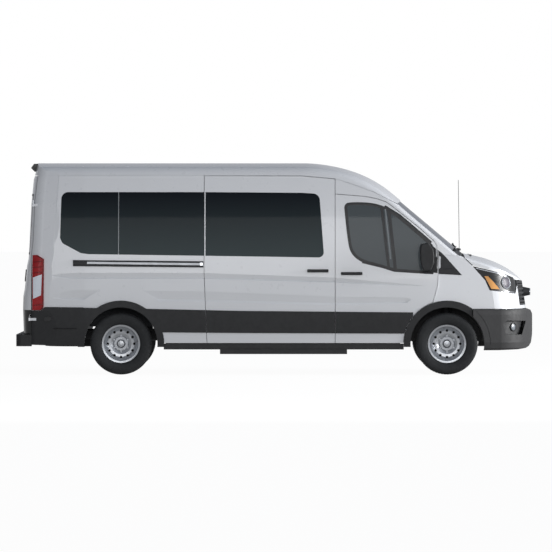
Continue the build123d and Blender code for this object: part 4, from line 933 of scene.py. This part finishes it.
def add_seats():
    """Sewn pads on tube frames; one cushion and one back are swollen, then placed for each seat."""
    base_verts, base_faces = stuffed(CUSHION_SIZE)
    back_verts, back_faces = stuffed(BACK_SIZE)
    base, back = Build(), Build()
    base.add(base_verts, base_faces)
    back.add(back_verts, back_faces)
    base, back = refined(base), refined(back)
    base.verts = [channel(v, (-0.10, 0.02, 0.13)) for v in base.verts]
    back.verts = [channel(v, (-0.20, -0.05, 0.10, 0.24)) for v in back.verts]
    rake = Matrix.Rotation(-atan2(0.740, -0.130), 4, "Y")
    for name, x, y, width, places in SEATS:
        pads, heads, frame = Build(), Build(), Build()
        pitch = width / places
        scale_y = (pitch - PAD_GAP) / CUSHION_SIZE[1]
        for k in range(places):
            at_y = y - width / 2 + pitch * (k + 0.5)
            narrowed = Matrix.Diagonal((1, scale_y, 1, 1))
            place = Matrix.Translation((x + 0.222, at_y, FLOOR_Z + 0.366)) @ narrowed
            pads.add([place @ v for v in base.verts], base.faces)
            place = Matrix.Translation((x - 0.090, at_y, FLOOR_Z + 0.672)) @ rake @ narrowed
            heads.add([place @ v for v in back.verts], back.faces)
            post_y = at_y - pitch * 0.36
            frame.tube([(x + 0.01, post_y, FLOOR_Z + 0.29), (x - 0.05, post_y, FLOOR_Z + 0.5)], 0.012)
        half = width / 2
        for side in (-1, 1):
            edge = y + side * (half - 0.07)
            low, high = FLOOR_Z + 0.012, FLOOR_Z + 0.285
            legs = [(x + 0.09, edge, low), (x + 0.09, edge, high), (x + 0.36, edge, high), (x + 0.36, edge, low)]
            frame.tube(legs, 0.016)
        frame.slab((x + 0.03, y - half + 0.03, FLOOR_Z + 0.280), (x + 0.40, y + half - 0.03, FLOOR_Z + 0.302))
        seat_pad = pads.piece(name + "_cushion", CLOTH, sharp=60, slot="seat_cloth")
        back_pad = heads.piece(name + "_back", CLOTH, sharp=60, slot="seat_cloth")
        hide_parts("cab_seats" if x > 0.5 else "passenger_seats")
        frame.piece(name + "_frame", CHASSIS, slot="chassis_metal")


# ------------------------------------------------------------------ the stage
def add_stage():
    """White floor that lights the underside a little and is pure white to the eye."""
    mesh = bpy.data.meshes.new("floor")
    reach = 180.0
    corners = [(-reach, -reach, 0), (reach, -reach, 0), (reach, reach, 0), (-reach, reach, 0)]
    mesh.from_pydata(corners, [], [(0, 1, 2, 3)])
    floor = bpy.data.objects.new("floor", mesh)
    bpy.context.scene.collection.objects.link(floor)
    n = Nodes("floor")
    tone = n.mixed(n.ranged(n.noise(0.4), 0.3, 0.7), (0.93, 0.93, 0.93), (0.95, 0.95, 0.95))
    face = n.new("BsdfDiffuse", Color=tone)
    seen = n.new("Emission", Color=(1, 1, 1), Strength=1.03)
    light = n.new("Emission", Color=(1, 1, 1), Strength=FLOOR_LIGHT)
    path = n.tree.nodes.new("ShaderNodeLightPath")
    glow = n.tree.nodes.new("ShaderNodeMixShader")
    n.tree.links.new(path.outputs["Is Camera Ray"], glow.inputs[0])
    n.tree.links.new(light.outputs[0], glow.inputs[1])
    n.tree.links.new(seen.outputs[0], glow.inputs[2])
    both = n.tree.nodes.new("ShaderNodeMixShader")
    both.inputs[0].default_value = 0.93
    n.tree.links.new(face.outputs[0], both.inputs[1])
    n.tree.links.new(glow.outputs[0], both.inputs[2])
    n.tree.links.new(both.outputs[0], n.out.inputs[0])
    mesh.materials.append(n.material)


FOG_SKIN = tree_of("fog_lamps front_bumper")
FLOOR_LIGHT = 0.28

add_camera()
add_world()
add_area("side", (0.5, -14.0, 4.0), (0.0, 0.0, 1.2), (10.0, 4.0), 330.0)
add_area("front", (12.0, -2.0, 2.6), (2.0, 0.0, 1.2), (4.0, 3.0), 1100.0)
bpy.context.scene.view_settings.view_transform = "Standard"
add_stage()
dress_nodes()
for end in AXLES:
    for side in SIDES:
        add_tyre(end, side)
        add_wheel_details(end, side)
add_window_trim()
add_sail()
add_headlamps()
add_tail_lamps()
add_fog_lamps()
add_track()
add_wipers()
add_small_parts()
add_rear_details()
add_grille_shade_sheet()
add_seats()
